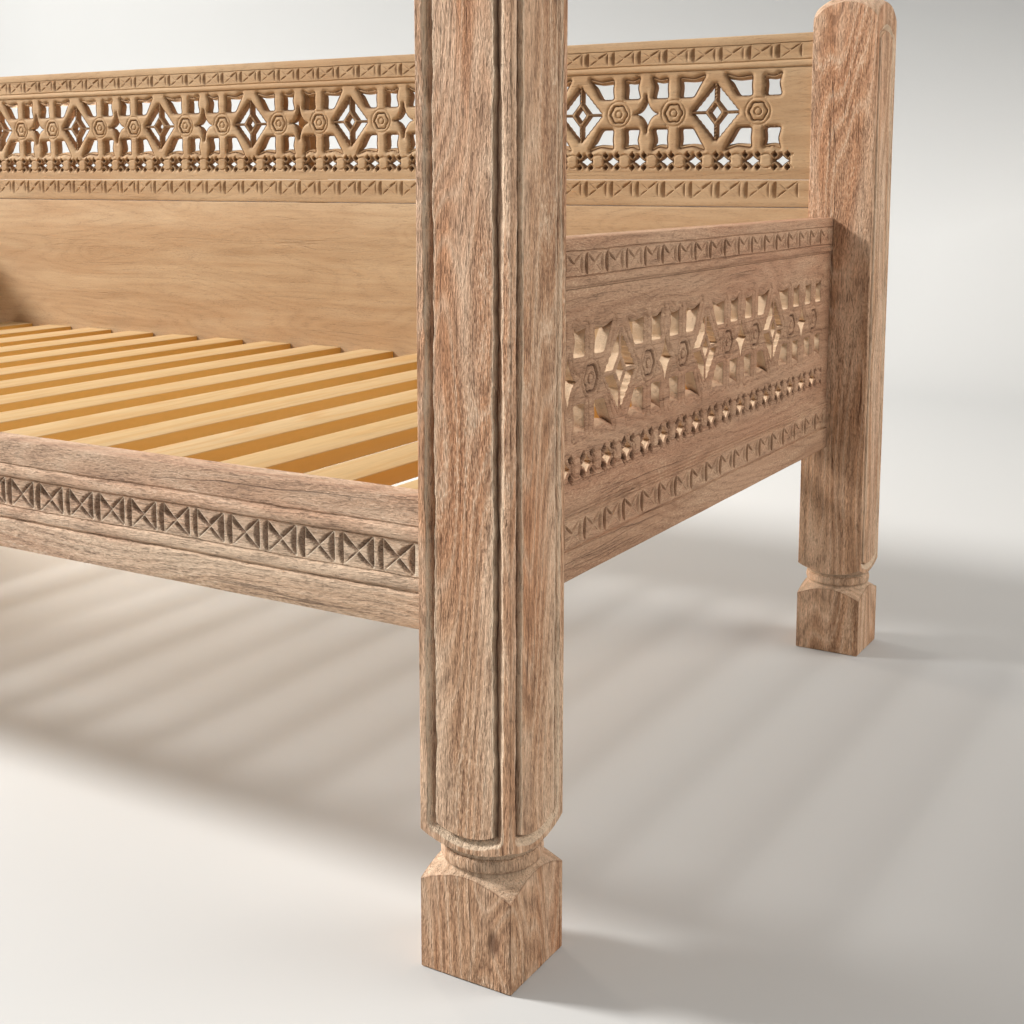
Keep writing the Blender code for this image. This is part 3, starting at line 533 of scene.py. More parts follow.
# Back: four planks stacked edge to edge between the back posts, with a batten behind. The plain board is at
# the bottom, then a carved rail, then the pierced panel, sawn through with a fretsaw and trimmed with gouges,
# then the top rail.
BACK_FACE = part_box("back_board")[0].y
LEAN_STRIP = np.array([0, 0.15, 0.36, 0.55, 0.75, 0.87, STRIP_STOP])
BACK_HABIT = (0.45, 1.5, 1.0, 0.7, 0.7)
FLAG_INNER = 0.013
FLAG_BASE = 0.0245
FLAG_TIP = 0.060
FLAG_NOTCH = 0.006
FLAG_WIDTH = 0.024
FLAG_LATTICE_WIDTH = 0.021
LATTICE = (0.041, 0.047)
LATTICE_BAR = 0.0025
LATTICE_STILE = 0.018
LATTICE_TIP_GAP = 0.017
HEART = (0.0185, 0.0225)
EYE = (0.0095, 0.0125)
STAR = (0.020, 0.030)
ROSETTE_TO_STAR = 0.049
ROSETTE_TO_DIAMOND = (FLAG_INNER + FLAG_LATTICE_WIDTH + LATTICE_STILE
                      + LATTICE[0] * (1 - FLAG_BASE / LATTICE[1]))
ROSETTE_TO_POST = 0.060
ROSETTE_ROUND = 0.0208
ROSETTE_PETAL = 0.0146
ROSETTE_BOSS = 0.0058
FRIEZE_REPEAT = 2 * (ROSETTE_TO_STAR + ROSETTE_TO_DIAMOND)
ROW_PITCH = 0.049
ROW_STAR = (0.012075, 0.01026)


def plain_board(length, profile):
    """Points and triangles of an uncarved plank: a profile up its face, carried along s, and a flat back."""
    outline = with_back(profile)
    half = length / 2
    s = np.concatenate([[-half, -half + BOARD_EASE], np.linspace(-half + 0.02, half - 0.02, 60),
                        [half - BOARD_EASE, half]])
    ss, zz = np.meshgrid(s, outline[:, 0])
    nn = np.repeat(outline[:, 1:], len(s), 1)
    front = np.arange(len(outline))[:, None] < len(outline) - 4
    return closed_plank(ss, nn + np.where(front, 0.0002 * np.sin(17 * ss + 31 * zz) - 0.0002, 0), zz)


def star_outline(size, bend):
    """A four-pointed star round the origin, with tips on the axes: a flattened circle whose sines and
    cosines are raised to a power, so its sides are hollow where the power is above two and straight where
    it is two."""
    turn = np.arange(48) * np.pi / 24
    c, s = np.cos(turn), np.sin(turn)
    return np.stack([size[0] * np.sign(c) * np.abs(c) ** bend, size[1] * np.sign(s) * np.abs(s) ** bend], -1)


def flag_outline(by_lattice):
    """One opening up and to the right of a rosette: a swallow-tailed flag, slanted beside a lattice."""
    notched = FLAG_TIP - FLAG_NOTCH
    inner_side = [(FLAG_INNER - 0.003, notched + 0.003), (FLAG_INNER - 0.001, FLAG_BASE + 0.016),
                  (FLAG_INNER - 0.003, FLAG_BASE)]
    if by_lattice:
        tip = ROSETTE_TO_DIAMOND - LATTICE_TIP_GAP
        outer_side = [(FLAG_INNER + FLAG_LATTICE_WIDTH, FLAG_BASE), (tip, FLAG_TIP),
                      ((FLAG_INNER + tip) / 2, notched - 0.001)]
    else:
        outer = FLAG_INNER + FLAG_WIDTH
        outer_side = [(outer + 0.001, FLAG_BASE), (outer - FLAG_NOTCH + 0.002, (FLAG_BASE + FLAG_TIP) / 2),
                      (outer + 0.001, FLAG_TIP), ((FLAG_INNER + outer) / 2, notched - 0.001)]
    return np.array(outer_side + inner_side)


def lattice_outline(teeth):
    """One of the four openings of a lattice diamond, up and to the right of its middle. Its long outer side
    is nicked into teeth of the given depth."""
    b = LATTICE_BAR
    outer = (LATTICE[0] * (1 - b / LATTICE[1]), LATTICE[1] * (1 - b / LATTICE[0]))
    heart = (HEART[0] * (1 - b / HEART[1]), HEART[1] * (1 - b / HEART[0]))
    part = np.linspace(0, 1, 13)[:, None]
    side = np.array([[outer[0], b]]) * (1 - part) + np.array([[b, outer[1]]]) * part
    side -= 0.7 * teeth * (np.arange(13) % 2)[:, None]
    return np.concatenate([side, [(b, heart[1]), (heart[0], b)]])


def frieze_openings(half, centre, frieze_z, row_z, teeth):
    """Outlines of a panel's openings in (s, z), each with its sort and middle, and the rosettes' places."""
    first = 0.0 if centre == "star" else FRIEZE_REPEAT / 2
    stars = first + FRIEZE_REPEAT * np.arange(-6, 6)
    rosettes = np.concatenate([stars - ROSETTE_TO_STAR, stars + ROSETTE_TO_STAR])
    rosettes = np.sort(rosettes[np.abs(rosettes) <= half - ROSETTE_TO_POST])
    diamonds = stars + FRIEZE_REPEAT / 2
    stars = stars[np.abs(stars) < rosettes.max()]
    diamonds = diamonds[np.abs(diamonds) < rosettes.max()]
    found = []
    corners = [(a, b) for a in (-1, 1) for b in (-1, 1)]
    for at in rosettes:
        for a, b in corners:
            lattice = bool(np.any((a * (diamonds - at) > 0) & (a * (diamonds - at) < FRIEZE_REPEAT / 2)))
            found.append(("flag", flag_outline(lattice) * (a, b) + (at, frieze_z), (at, frieze_z)))
    for at in diamonds:
        found += [("lattice", lattice_outline(teeth) * corner + (at, frieze_z), (at, frieze_z))
                  for corner in corners]
        found.append(("eye", star_outline(EYE, 2.0) + (at, frieze_z), (at, frieze_z)))
    found += [("star", star_outline(STAR, 3.3) + (at, frieze_z), (at, frieze_z)) for at in stars]
    pairs = int((half - 0.035) / ROW_PITCH + 0.5)
    small = (np.arange(-pairs, pairs) + 0.5) * ROW_PITCH
    found += [("small", star_outline(ROW_STAR, 2.5) + (at, row_z), (at, row_z)) for at in small]
    return found, rosettes


def divided(outline, step, rounds=0):
    """The outline with points added along its edges, no further apart than the step, turning left all round.
    Each round of smoothing draws a point towards the middle of its neighbours, which eases the corners."""
    onward = np.roll(outline, -1, 0)
    if np.sum(outline[:, 0] * onward[:, 1] - onward[:, 0] * outline[:, 1]) < 0:
        outline = outline[::-1]
        onward = np.roll(outline, -1, 0)
    pieces = np.maximum(np.ceil(np.linalg.norm(onward - outline, axis=1) / step), 1).astype(int)
    start = np.repeat(outline, pieces, 0)
    way = np.repeat(onward - outline, pieces, 0)
    first = np.repeat(np.cumsum(pieces) - pieces, pieces)
    part = (np.arange(pieces.sum()) - first) / np.repeat(pieces, pieces)
    outline = start + way * part[:, None]
    for _ in range(rounds):
        outline = 0.5 * outline + 0.25 * (np.roll(outline, 1, 0) + np.roll(outline, -1, 0))
    return outline


def clear_of(points, outlines, margin):
    """Each point's distance to the nearest outline, up to the margin, and whether it is in an opening."""
    distance, inside = np.full(len(points), margin), np.zeros(len(points), bool)
    for outline in outlines:
        low, high = outline.min(0) - margin, outline.max(0) + margin
        near = np.nonzero(np.all((points > low) & (points < high), axis=1))[0]
        p, a = points[near][:, None, :], outline[None]
        b = np.roll(outline, -1, 0)[None]
        along = np.clip(np.sum((p - a) * (b - a), -1) / np.maximum(np.sum((b - a) ** 2, -1), 1e-16), 0, 1)
        gap = np.linalg.norm(p - a - along[..., None] * (b - a), axis=-1).min(1)
        distance[near] = np.minimum(distance[near], gap)
        straddles = (a[..., 1] > p[..., 1]) != (b[..., 1] > p[..., 1])
        rise = np.where(np.abs(b[..., 1] - a[..., 1]) < 1e-12, 1e-12, b[..., 1] - a[..., 1])
        meets = a[..., 0] + (p[..., 1] - a[..., 1]) / rise * (b[..., 0] - a[..., 0])
        inside[near] |= (straddles & (p[..., 0] < meets)).sum(1) % 2 == 1
    return distance, inside


def sheet(rim, outlines, filling):
    """Points and triangles of the flat region inside the rim and outside the outlines, drawn through the
    filling points. The points of the rim and the outlines come first."""
    loops = [rim] + outlines
    edges, count = [], 0
    for loop in loops:
        ring = count + np.arange(len(loop))
        edges.append(np.stack([ring, np.roll(ring, -1)], -1))
        count += len(loop)
    points = np.concatenate(loops + [filling])
    made = delaunay_2d_cdt([Vector(p) for p in points.tolist()], np.concatenate(edges).tolist(), [], 0, 1e-9)
    points = np.array([tuple(p) for p in made[0]])
    triangles = np.array(made[2])
    middle = points[triangles].mean(1)
    return points, triangles[~clear_of(middle, outlines, 1e-4)[1]]


def grid_points(s, z):
    """All points of a flat grid from its places along s and z, row by row."""
    return np.stack(np.meshgrid(s, z), -1).reshape(-1, 2)


def pierced_panel(half, low, high, thickness, frieze_z, row_z, centre, fine, rounding, lines, teeth):
    """Points, triangles and carving marks of a pierced panel. The face is a sheet of triangles whose relief
    is a function of place: rounded beside the openings, with a knife line beside them of the given depth,
    rings, petals and a boss on each rosette, and rings and chips along the small row. Each opening's wall is
    a profile carried round its outline, closing in as it goes deeper, most of all at the flags' tips, and
    the back is a second sheet."""
    openings, rosettes = frieze_openings(half, centre, frieze_z, row_z, teeth)
    eased = {"flag": 4, "lattice": 0, "eye": 1, "star": 0, "small": 0}
    leans = {"flag": 0.0008, "lattice": -0.0005, "eye": -0.0005, "star": -0.0008, "small": -0.0008}
    outlines = [divided(outline, 0.0024, eased[sort]) for sort, outline, _ in openings]
    rim = divided(np.array([(-half, low), (half, low), (half, high), (-half, high)]), 0.012)
    s, z = np.meshgrid(np.arange(-half + 0.003, half - 0.002, fine),
                       np.arange(low + 0.0025, high - 0.0015, 0.92 * fine))
    s = s + 0.5 * fine * (np.arange(s.shape[0])[:, None] % 2)
    broad = np.stack([s, z], -1).reshape(-1, 2)
    small_row = grid_points(np.arange(-half + 0.02, half - 0.02, 0.0018),
                            np.arange(row_z - 0.0145, row_z + 0.015, 0.0018))
    radius, turn = np.meshgrid(np.array([0.0015, 0.003, 0.0045, 0.0055, 0.0068, 0.0085, 0.010, 0.0112, 0.0124,
                                         0.0138, 0.0148, 0.0158, 0.0172, 0.0186, 0.0198, 0.021]),
                               np.arange(40) * np.pi / 20)
    wheel = np.stack([radius * np.cos(turn), radius * np.sin(turn)], -1).reshape(-1, 2)
    hubs = np.stack([rosettes, np.full(len(rosettes), frieze_z)], -1)
    wheels = (wheel[None] + hubs[:, None]).reshape(-1, 2)
    off = np.min(np.hypot(broad[:, None, 0] - rosettes, broad[:, None, 1] - frieze_z), 1)
    broad = broad[(off > 0.0225) & (np.abs(broad[:, 1] - row_z) > 0.016)]
    filling = np.concatenate([broad, small_row, wheels])
    distance, inside = clear_of(filling, outlines, 0.009)
    flat, triangles = sheet(rim, outlines, filling[~inside & (distance > 0.0011)])

    distance = clear_of(flat, outlines, 0.009)[0]
    relief = -rounding * (1 - np.minimum(distance / 0.0062, 1)) ** 1.5
    relief -= lines * np.exp(-((distance - 0.0060) / 0.0013) ** 2)
    nearest = rosettes[np.argmin(np.abs(flat[:, :1] - rosettes), 1)]
    r = np.hypot(flat[:, 0] - nearest, flat[:, 1] - frieze_z)
    turn = np.arctan2(flat[:, 1] - frieze_z, flat[:, 0] - nearest)
    petal = ROSETTE_PETAL + 0.0010 * np.cos(6 * turn)
    relief = np.where(r < 0.0205, np.maximum(relief, -0.0004), relief)
    relief -= 0.0014 * np.exp(-((r - ROSETTE_ROUND) / 0.0011) ** 2)
    relief -= 0.0036 * np.exp(-((r - petal) / 0.0013) ** 2)
    relief -= 0.0012 * np.clip((r - 0.0062) / 0.006, 0, 1) * (r < petal)
    relief -= 0.0026 * np.exp(-((r - ROSETTE_BOSS) / 0.0011) ** 2)
    relief += 0.0002 * np.sqrt(np.clip(1 - (r / 0.0046) ** 2, 0, 1))
    wide = np.round(flat[:, 0] / ROW_PITCH) * ROW_PITCH
    ds, dz = np.abs(flat[:, 0] - wide), np.abs(flat[:, 1] - row_z)
    along_row = np.abs(flat[:, 0]) < half - 0.03
    relief -= np.where(along_row, 0.0022 * np.exp(-((np.hypot(ds, dz) - 0.0112) / 0.0012) ** 2), 0)
    chip = np.clip(1.7 - (np.abs(ds - 0.0138) + np.abs(dz - 0.0098)) / 0.0038, 0, 1)
    relief -= np.where(along_row, 0.0070 * chip, 0)
    front = np.stack([flat[:, 0], relief, flat[:, 1]], -1)

    blocks, faces, backs = [front], [triangles], []
    # Painted shade in the sunk relief, darker where it is deeper (hollow), and the cut colour on the
    # openings' walls (sawn).
    hollow, sawn = [np.clip(-(relief + 0.0010) / 0.0040, 0, 1)], [np.zeros(len(front))]
    offset, edge = len(front), len(rim)
    for (sort, _, middle), outline in zip(openings, outlines):
        way = np.roll(outline, -1, 0) - np.roll(outline, 1, 0)
        span = np.maximum(np.linalg.norm(way, axis=1), 1e-9)[:, None]
        inward = np.stack([-way[:, 1], way[:, 0]], -1) / span
        rise = outline[:, 1] - middle[1]
        tip = np.clip((np.abs(rise) - 0.046) / 0.012, 0, 1) * (sort == "flag")
        towards = np.stack([np.zeros(len(outline)), -np.sign(rise)], -1)
        levels = [front[edge:edge + len(outline)]]
        for depth, part in ((0.003, 0.45), (0.007, 0.85), (0.012, 1.0), (thickness - 0.001, 1.0),
                            (thickness, 0.8)):
            closing = towards * (0.0065 * tip * min(1, depth / 0.011))[:, None]
            place = outline + inward * leans[sort] * part + closing
            levels.append(np.stack([place[:, 0], np.full(len(place), -depth), place[:, 1]], -1))
        backs.append(levels[-1][:, [0, 2]])
        blocks.append(np.concatenate(levels))
        hollow.append(np.zeros(len(blocks[-1])))
        sawn.append(np.concatenate([np.zeros(len(outline))] + [0.65 * (1 - tip)] * (len(levels) - 1)))
        faces.append(grid_triangles(len(levels), len(outline), wrap_columns=True) + offset)
        offset += len(blocks[-1])
        edge += len(outline)
    blocks.append(np.concatenate([front[:len(rim)], np.insert(rim, 1, -thickness, 1)]))
    faces.append(grid_triangles(2, len(rim), wrap_columns=True) + offset)
    offset += 2 * len(rim)
    filling = grid_points(np.arange(-half + 0.008, half - 0.006, 0.009),
                          np.arange(low + 0.006, high - 0.004, 0.009))
    distance, inside = clear_of(filling, backs, 0.009)
    rear, rear_triangles = sheet(rim, backs, filling[~inside & (distance > 0.003)])
    blocks.append(np.insert(rear, 1, -thickness, 1))
    faces.append(rear_triangles[:, ::-1] + offset)
    plain = [np.zeros(2 * len(rim) + len(rear))]
    marks = {"hollow": np.concatenate(hollow + plain), "cut": np.concatenate(sawn + plain)}
    return np.concatenate(blocks), np.concatenate(faces), marks


# Golden teak, planed and not bleached: an even honey brown with faint figure. Its cut colour is dark: painted
# shade, with some dirt, on the walls of its openings.
back_wood = scrubbed_hardwood(
    "golden_teak_back", 0, {"dark": "AC8B67", "mid": "BA9B77", "pale": "C6AA87", "blush": "B4926D",
                            "pore": "5A3C26", "cut": "7A5230"}, seed=7.9, depth=0.0004, vivid=0.3)
plain_profile = [(0.3272, -0.0020), (0.3285, -0.0006), (0.3300, -0.0003), (0.4000, -0.0003),
                 (0.5000, -0.0003), (0.6000, -0.0003), (0.6945, -0.0004), (0.6958, -0.0010),
                 (0.6966, -0.0022)]
lower_profile = [(0.6974, -0.0022), (0.6982, -0.0008), (0.7000, -0.0003), (0.7060, -0.0003),
                 (0.7088, -0.0006), (0.7385, -0.0008), (0.7393, -0.0016), (0.7397, -0.0028)]
top_profile = [(0.9124, -0.0034), *bead(0.9128, 0.9226, -0.0030, -0.0001), (0.9232, -0.0030),
               (0.9240, -0.0022), (0.9486, -0.0016), (0.9490, -0.0030), (0.9494, -0.0030), (0.9499, -0.0008),
               (0.9540, -0.0004), (0.9610, -0.0005), (0.9622, -0.0010), (0.9629, -0.0022)]
points, triangles = plain_board(LONG_BOARD, plain_profile)
skin("plain_back_board", stand(points, (0, BACK_FACE), (1, 0)), triangles, back_wood, "back_wood",
     "back_board")
# The last column is how dark the chips are painted, as shade.
for level, profile, band, seed, chip_shade in (
        ("lower", lower_profile, (0.7097, 0.7379, -0.0006, 42, 0.0044), 23, 0.55),
        ("top", top_profile, (0.9248, 0.9479, -0.0016, 42, 0.0044), 29, 0.7)):
    points, triangles, marks = banded_board(
        LONG_BOARD, profile, band, seed, strip=LEAN_STRIP, habit=BACK_HABIT, ridge_highlight=0.0, chip_shade=chip_shade)
    skin(f"carved_back_{level}_rail", stand(points, (0, BACK_FACE), (1, 0)), triangles, back_wood,
         "back_wood", f"back_{level}_rail", crease=24, marks=marks)
low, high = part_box("back_pierced_panel")
points, triangles, marks = pierced_panel(
    LONG_BOARD / 2, low.z, high.z, high.y - low.y, frieze_z=0.8465, row_z=0.7697, centre="star", fine=0.0030,
    rounding=0.0046, lines=0.0, teeth=0.0009)
skin("pierced_back_panel", stand(points, (0, low.y), (1, 0)), triangles, back_wood, "back_wood",
     "back_pierced_panel", crease=28, marks=marks)
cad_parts["back_centre_batten"].material_slots[0].material = back_wood

# Ends: three planks stacked between the front and back posts, carved on the outside like the back: a bottom
# rail with a banded edge, the pierced panel a little set back, and a top rail. The left end mirrors the
# right.
END_BOARD = 0.9662
END_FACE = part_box("end_top_rail_right")[1].x

# Bleached teak with less lime: a greyer brown than the posts, with a quiet figure.
end_wood = scrubbed_hardwood(
    "bleached_teak_end", 1, {"dark": "A27D62", "mid": "B08C70", "pale": "C1A084", "blush": "AF8468",
                             "pore": "4E3526", "cut": "E6CDAC"}, seed=9.7, depth=0.0014, vivid=0.45)
end_bottom = [(0.3272, -0.0020), (0.3284, -0.0006), (0.3300, -0.0003), (0.3450, -0.0003), (0.3582, -0.0004),
              (0.3590, -0.0012), (0.3596, -0.0030), (0.3606, -0.0030), (0.3616, -0.0012), (0.3904, -0.0012),
              (0.3914, -0.0022), *bead(0.3918, 0.3952, -0.0022, -0.0004, 5),
              *bead(0.3956, 0.3988, -0.0022, -0.0008, 5)]
end_top = [(0.6304, -0.0030), (0.6312, -0.0030), *bead(0.6318, 0.6434, -0.0030, -0.0002), (0.6686, -0.0012),
           (0.6692, -0.0024), (0.6698, -0.0024), (0.6704, -0.0006), (0.6780, -0.0004), (0.6812, -0.0006),
           (0.6822, -0.0012), (0.6828, -0.0024)]
for side, x_side in (("left", -1), ("right", 1)):
    along = (0, x_side)
    # The last three columns: how pale the ridges are painted as highlights, and how dark the chips and the
    # mouldings' quirks are painted as shade.
    for level, profile, band, seed, ridge_highlight, chip_shade, quirk_shade in (
            ("bottom", end_bottom, (0.3629, 0.3894, -0.0010, 20, 0.0042), 31, 0.25, 0.25, 0.3),
            ("top", end_top, (0.6441, 0.6676, -0.0010, 20, 0.0040), 37, 0.15, 0.35, 1.0)):
        points, triangles, marks = banded_board(
            END_BOARD, profile, band, seed, strip=LEAN_STRIP, ridge_highlight=ridge_highlight, chip_shade=chip_shade, quirk_shade=quirk_shade)
        skin(f"carved_end_{level}_rail_{side}", stand(points, (x_side * END_FACE, 0), along), triangles,
             end_wood, "rail_wood", f"end_{level}_rail_{side}", crease=24, marks=marks)
    low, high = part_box(f"end_pierced_panel_{side}")
    face = high.x if x_side > 0 else low.x
    points, triangles, marks = pierced_panel(
        END_BOARD / 2, low.z, high.z, high.x - low.x, frieze_z=0.5335, row_z=0.4435, centre="diamond",
        fine=0.0021, rounding=0.0022, lines=0.0017, teeth=0.0020)
    skin(f"pierced_end_panel_{side}", stand(points, (face, 0), along), triangles, end_wood, "rail_wood",
         f"end_pierced_panel_{side}", crease=28, marks=marks)

# Deck: loose pine slats, planed and with eased edges, laid across two pine cleats that are screwed to the
# front rail and the back board. The wood is unvarnished; the slats' sides are painted a deeper yellow, as
# shade with warm bounce light between them.
SLAT_EASE = 0.002
SLAT_SLACK = 0.0002


def planed_pine(name, seed):
    """Plain-sawn pine, planed and unvarnished: straight honey-coloured rings about 6 mm apart along Y, softer
    pale wood between them, and sides that face along X painted a deeper yellow, as shade with warm bounce
    light. It has a soft sheen."""
    made = bpy.data.materials.new(name)
    made.use_nodes = True
    tree = made.node_tree
    shader = tree.nodes["Principled BSDF"]
    spot = add(tree, "ShaderNodeTexCoord").outputs["Object"]
    grain = add(tree, "ShaderNodeMapping", {
        "Vector": spot, "Location": (seed, 0, 0), "Scale": (1, 0.07, 1)}).outputs["Vector"]
    figure = add(tree, "ShaderNodeTexNoise", {
        "Vector": grain, "Scale": 16.0, "Detail": 1.5, "Roughness": 0.4}).outputs["Fac"]
    rings = add(tree, "ShaderNodeMath", {0: figure, 1: 17.0}, operation="MULTIPLY").outputs[0]
    rings = add(tree, "ShaderNodeMath", {0: rings, 1: 1.0}, operation="PINGPONG").outputs[0]
    late = add(tree, "ShaderNodeMapRange", {
        "Value": rings, "From Min": 0.45, "From Max": 1.0, "To Max": 0.55},
        interpolation_type="SMOOTHSTEP").outputs["Result"]
    board = add(tree, "ShaderNodeTexNoise", {"Vector": grain, "Scale": 7.0, "Detail": 0.0}).outputs["Fac"]
    board = add(tree, "ShaderNodeMapRange", {
        "Value": board, "From Min": 0.35, "From Max": 0.65, "To Max": 0.5}).outputs["Result"]
    fibre = add(tree, "ShaderNodeTexNoise", {"Vector": grain, "Scale": 300.0, "Detail": 2.0}).outputs["Fac"]
    hair = add(tree, "ShaderNodeMapRange", {
        "Value": fibre, "From Min": 0.35, "From Max": 0.65, "To Min": 0.93, "To Max": 1.05}).outputs["Result"]
    # The faces that look along X are painted a deeper, more saturated yellow: painted shade with warm bounce
    # light.
    facing = add(tree, "ShaderNodeSeparateXYZ", {0: add(tree, "ShaderNodeNewGeometry").outputs["Normal"]})
    facing = add(tree, "ShaderNodeMath", {0: facing.outputs["X"]}, operation="ABSOLUTE").outputs[0]
    edge = add(tree, "ShaderNodeMapRange", {
        "Value": facing, "From Min": 0.5, "From Max": 0.95, "To Max": 0.85}).outputs["Result"]
    colour = linear("C6A87C")
    for mask, over in ((late, "BC8F56"), (board, "C09D66"), (hair, None), (edge, "D29E48")):
        if over:
            colour = add(tree, "ShaderNodeMix", {
                0: mask, 6: colour, 7: linear(over)}, data_type="RGBA").outputs[2]
        else:
            colour = add(tree, "ShaderNodeVectorMath", {
                0: colour, "Scale": mask}, operation="SCALE").outputs[0]
    tree.links.new(colour, shader.inputs["Base Color"])
    bump = add(tree, "ShaderNodeBump", {"Height": fibre, "Strength": 0.25, "Distance": 0.0004})
    tree.links.new(bump.outputs["Normal"], shader.inputs["Normal"])
    shader.inputs["Roughness"].default_value = 0.52
    shader.inputs["Specular IOR Level"].default_value = 0.4
    return made


def slat_skin(low, high, seed):
    """Points and triangles of a slat: an eased rectangle carried along Y with a slight bow."""
    middle_x, middle_z = (low.x + high.x) / 2, (low.z + high.z) / 2
    half, thick = (high.x - low.x) / 2 - SLAT_SLACK, (high.z - low.z) / 2 - SLAT_SLACK
    turn = np.radians([0, 30, 60, 90])
    corner = np.stack([half - SLAT_EASE + SLAT_EASE * np.sin(turn),
                       thick - SLAT_EASE + SLAT_EASE * np.cos(turn)], -1)
    right = np.concatenate([corner, corner[::-1] * (1, -1)])
    ring = np.concatenate([right, right[::-1] * (-1, 1)])
    y = np.linspace(low.y, high.y, 26)[:, None]
    bow = 0.0012 * np.sin(np.pi * (y - low.y) / (high.y - low.y)) * math.sin(seed)
    x = ring[None, :, 0] + bow + middle_x
    z = np.broadcast_to(ring[None, :, 1], x.shape) + middle_z
    points = np.stack([x, np.broadcast_to(y, x.shape), z], -1).reshape(-1, 3)
    count = len(ring)
    loop, ahead = np.arange(count), (np.arange(count) + 1) % count
    first = np.stack([ahead, loop, np.full(count, len(points))], -1)
    last = np.stack([loop, ahead, np.full(count, len(points) + 1)], -1)
    last[:, :2] += (len(y) - 1) * count
    triangles = np.concatenate([grid_triangles(len(y), count, wrap_columns=True), first, last])
    return np.concatenate([points, [[middle_x, low.y, middle_z], [middle_x, high.y, middle_z]]]), triangles


slat_pine = planed_pine("planed_pine_slat", 2.3)
for number in range(1, 17):
    node = f"slat_{number:02d}"
    points, triangles = slat_skin(*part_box(node), 2.1 * number)
    skin("pine_" + node, points, triangles, slat_pine, "slat_wood", node, crease=50)
for node in ("slat_cleat_front", "slat_cleat_back"):
    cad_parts[node].material_slots[0].material = slat_pine

# Screws and pegs: steel screws hold the cleats, and pegs split from hardwood lock the tenons in the posts.
# They keep their solids' shapes, because they are driven home and hardly seen.
# Zinc-plated steel: pale grey metal, dulled in patches by the plating's spangle.
zinc = bpy.data.materials.new("zinc_plated_steel")
zinc.use_nodes = True
tree = zinc.node_tree
shader = tree.nodes["Principled BSDF"]
spot = add(tree, "ShaderNodeTexCoord").outputs["Object"]
spangle = add(tree, "ShaderNodeTexNoise", {"Vector": spot, "Scale": 900.0, "Detail": 2.0}).outputs["Fac"]
dull = add(tree, "ShaderNodeMapRange", {"Value": spangle, "To Min": 0.28, "To Max": 0.45}).outputs["Result"]
tree.links.new(dull, shader.inputs["Roughness"])
shader.inputs["Base Color"].default_value = linear("B9B8B2")
shader.inputs["Metallic"].default_value = 1.0
# Split teak, not bleached: darker than the posts, with its fibres torn open.
peg_wood = scrubbed_hardwood(
    "split_teak_peg", 1, {"dark": "7E5C42", "mid": "94704F", "pale": "A98662", "blush": "8A6448",
                          "pore": "4A3222", "cut": "A98662"}, seed=12.4, depth=0.0004)
for name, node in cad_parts.items():
    if name.startswith("cleat_screw"):
        node.material_slots[0].material = zinc
    elif name.startswith("peg_"):
        node.material_slots[0].material = peg_wood

# Floor and backdrop: one pale seamless sheet that lies under the bed and curves up behind it. It is matt
# paper, so the shadows on it are soft and it has no shine. The light's fall towards the right is painted into
# it as shade, on the wall and on the floor beside the bed.
SHEET_BEND = 1.5
across = np.linspace(-9, 9, 37)
turn = np.linspace(0, np.pi / 2, 17)
bend = np.stack([3.2 + SHEET_BEND * np.sin(turn), SHEET_BEND - SHEET_BEND * np.cos(turn)], -1)
sweep = np.concatenate([[[-7.0, 0.0], [-3.0, 0.0], [0.0, 0.0]], bend, [[4.7, 6.0]]])
xx, yy = np.meshgrid(across, sweep[:, 0])
zz = np.broadcast_to(sweep[:, 1:] - 0.0003, xx.shape)
mesh = bpy.data.meshes.new("studio_floor")
mesh.from_pydata(np.stack([xx, yy, zz], -1).reshape(-1, 3).tolist(), [],
                 grid_triangles(len(sweep), len(across)).tolist())
mesh.polygons.foreach_set("use_smooth", np.ones(len(mesh.polygons), bool))
floor = bpy.data.objects.new("studio_floor", mesh)
bpy.context.scene.collection.objects.link(floor)
paper = bpy.data.materials.new("matt_backdrop_paper")
paper.use_nodes = True
tree = paper.node_tree
shader = tree.nodes["Principled BSDF"]
spot = add(tree, "ShaderNodeSeparateXYZ", {0: add(tree, "ShaderNodeTexCoord").outputs["Object"]}).outputs
# Painted shade: the wall darkens towards the right above half a metre, and the floor darkens to the right of
# the bed.
dim = add(tree, "ShaderNodeMapRange", {
    "Value": spot["X"], "From Min": -5.5, "From Max": 1.2}).outputs["Result"]
upright = add(tree, "ShaderNodeMapRange", {
    "Value": spot["Z"], "From Min": 0.5, "From Max": 1.7}).outputs["Result"]
dim = add(tree, "ShaderNodeMath", {0: dim, 1: upright}, operation="MULTIPLY").outputs[0]
aside = add(tree, "ShaderNodeMapRange", {
    "Value": spot["X"], "From Min": 0.3, "From Max": 1.3, "To Max": 0.28}).outputs["Result"]
dim = add(tree, "ShaderNodeMath", {0: dim, 1: aside}, operation="MAXIMUM").outputs[0]
shade = add(tree, "ShaderNodeMix", {
    0: dim, 6: linear("C8C9C8"), 7: linear("868787")}, data_type="RGBA").outputs[2]
tree.links.new(shade, shader.inputs["Base Color"])
shader.inputs["Roughness"].default_value = 0.9
mesh.materials.append(paper)

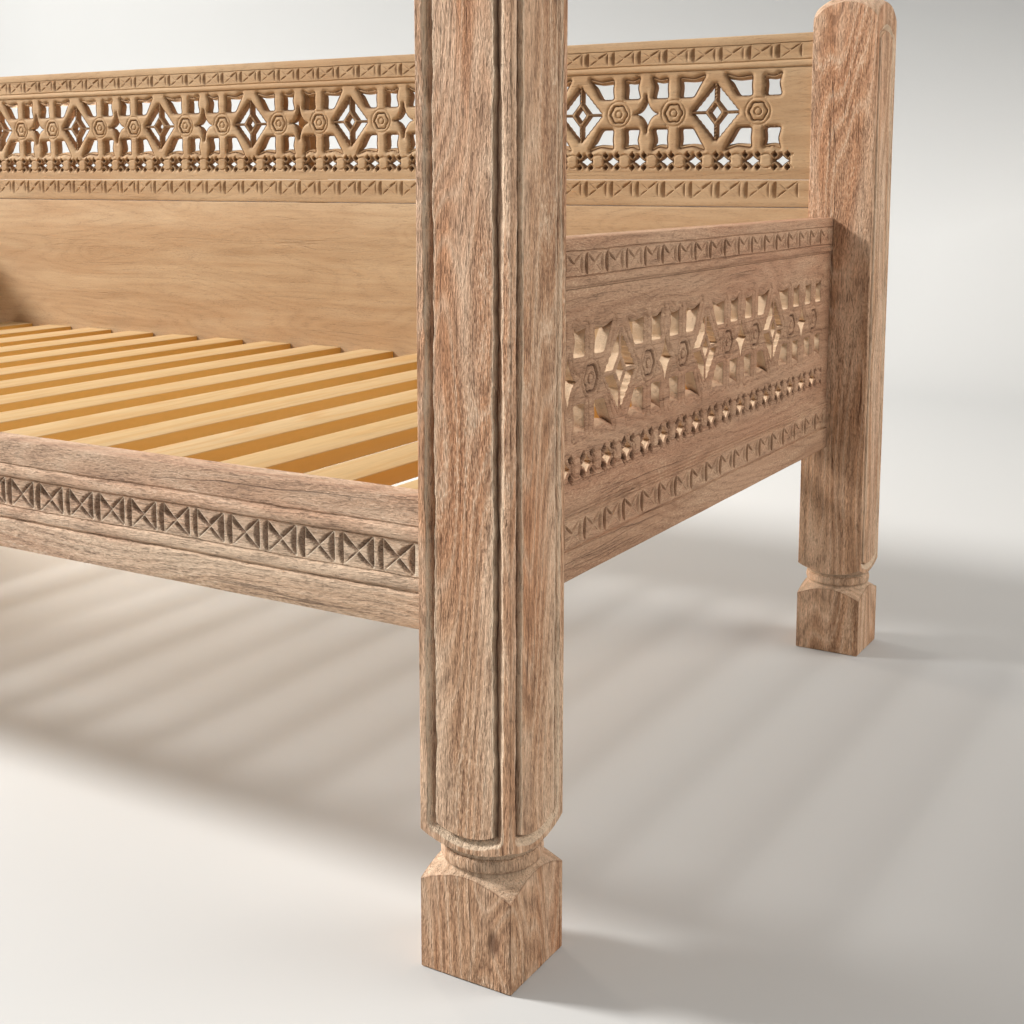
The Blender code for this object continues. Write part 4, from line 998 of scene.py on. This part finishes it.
# Light: a window-like lamp from the left, a broad bounce from the right and a low lamp behind, which lights
# the floor under the bed. The surround is paler overhead and towards the left.
world = bpy.data.worlds.new("studio")
bpy.context.scene.world = world
world.use_nodes = True
sky = world.node_tree
sky.nodes["Background"].inputs["Color"].default_value = linear("F4F2EF")
way = add(sky, "ShaderNodeSeparateXYZ", {0: add(sky, "ShaderNodeTexCoord").outputs["Generated"]}).outputs
glow = add(sky, "ShaderNodeMapRange", {
    "Value": way["Z"], "From Max": 0.9, "To Min": 0.19, "To Max": 0.68}).outputs["Result"]
lean = add(sky, "ShaderNodeMapRange", {
    "Value": way["X"], "From Min": -1.0, "To Min": 1.55, "To Max": 0.45}).outputs["Result"]
glow = add(sky, "ShaderNodeMath", {0: glow, 1: lean}, operation="MULTIPLY").outputs[0]
sky.links.new(glow, sky.nodes["Background"].inputs["Strength"])
for name, size, power, colour, place, aim, seen in (
        ("window", 1.8, 1220, (1.0, 0.975, 0.945), (-6.3, -2.6, 5.5), (0.5, -0.1, 0.3), True),
        ("bounce", 3.2, 124, (1.0, 0.93, 0.86), (4.6, 1.2, 2.6), (1.0, 0.0, 0.5), True),
        ("low_window", 0.5, 60, (1.0, 0.86, 0.72), (-1.6, 1.1, 0.28), (0.3, 0.1, 0.0), False)):
    lamp = bpy.data.lights.new(name, "AREA")
    lamp.shape = "DISK"
    lamp.size = size
    lamp.energy = power
    lamp.color = colour
    light = bpy.data.objects.new(name, lamp)
    light.location = place
    light.rotation_euler = (Vector(aim) - Vector(place)).to_track_quat("-Z", "Y").to_euler()
    light.visible_camera = seen
    bpy.context.scene.collection.objects.link(light)

# Camera: at the photograph's place, a little above the deck, looking along the bed past the near post. The
# shifts stand for the photograph's framing, whose middle isn't the lens's.
lens = bpy.data.cameras.new("camera")
lens.sensor_width = 36.0
lens.lens = 48.997
lens.shift_x = 0.0139
lens.shift_y = -0.1484
camera = bpy.data.objects.new("camera", lens)
camera.location = (1.7074, -1.6072, 0.7424)
camera.rotation_euler = (math.radians(90 - 7.43), 0.0, math.radians(31.04))
bpy.context.scene.collection.objects.link(camera)
bpy.context.scene.camera = camera
bpy.context.scene.view_settings.view_transform = "Standard"
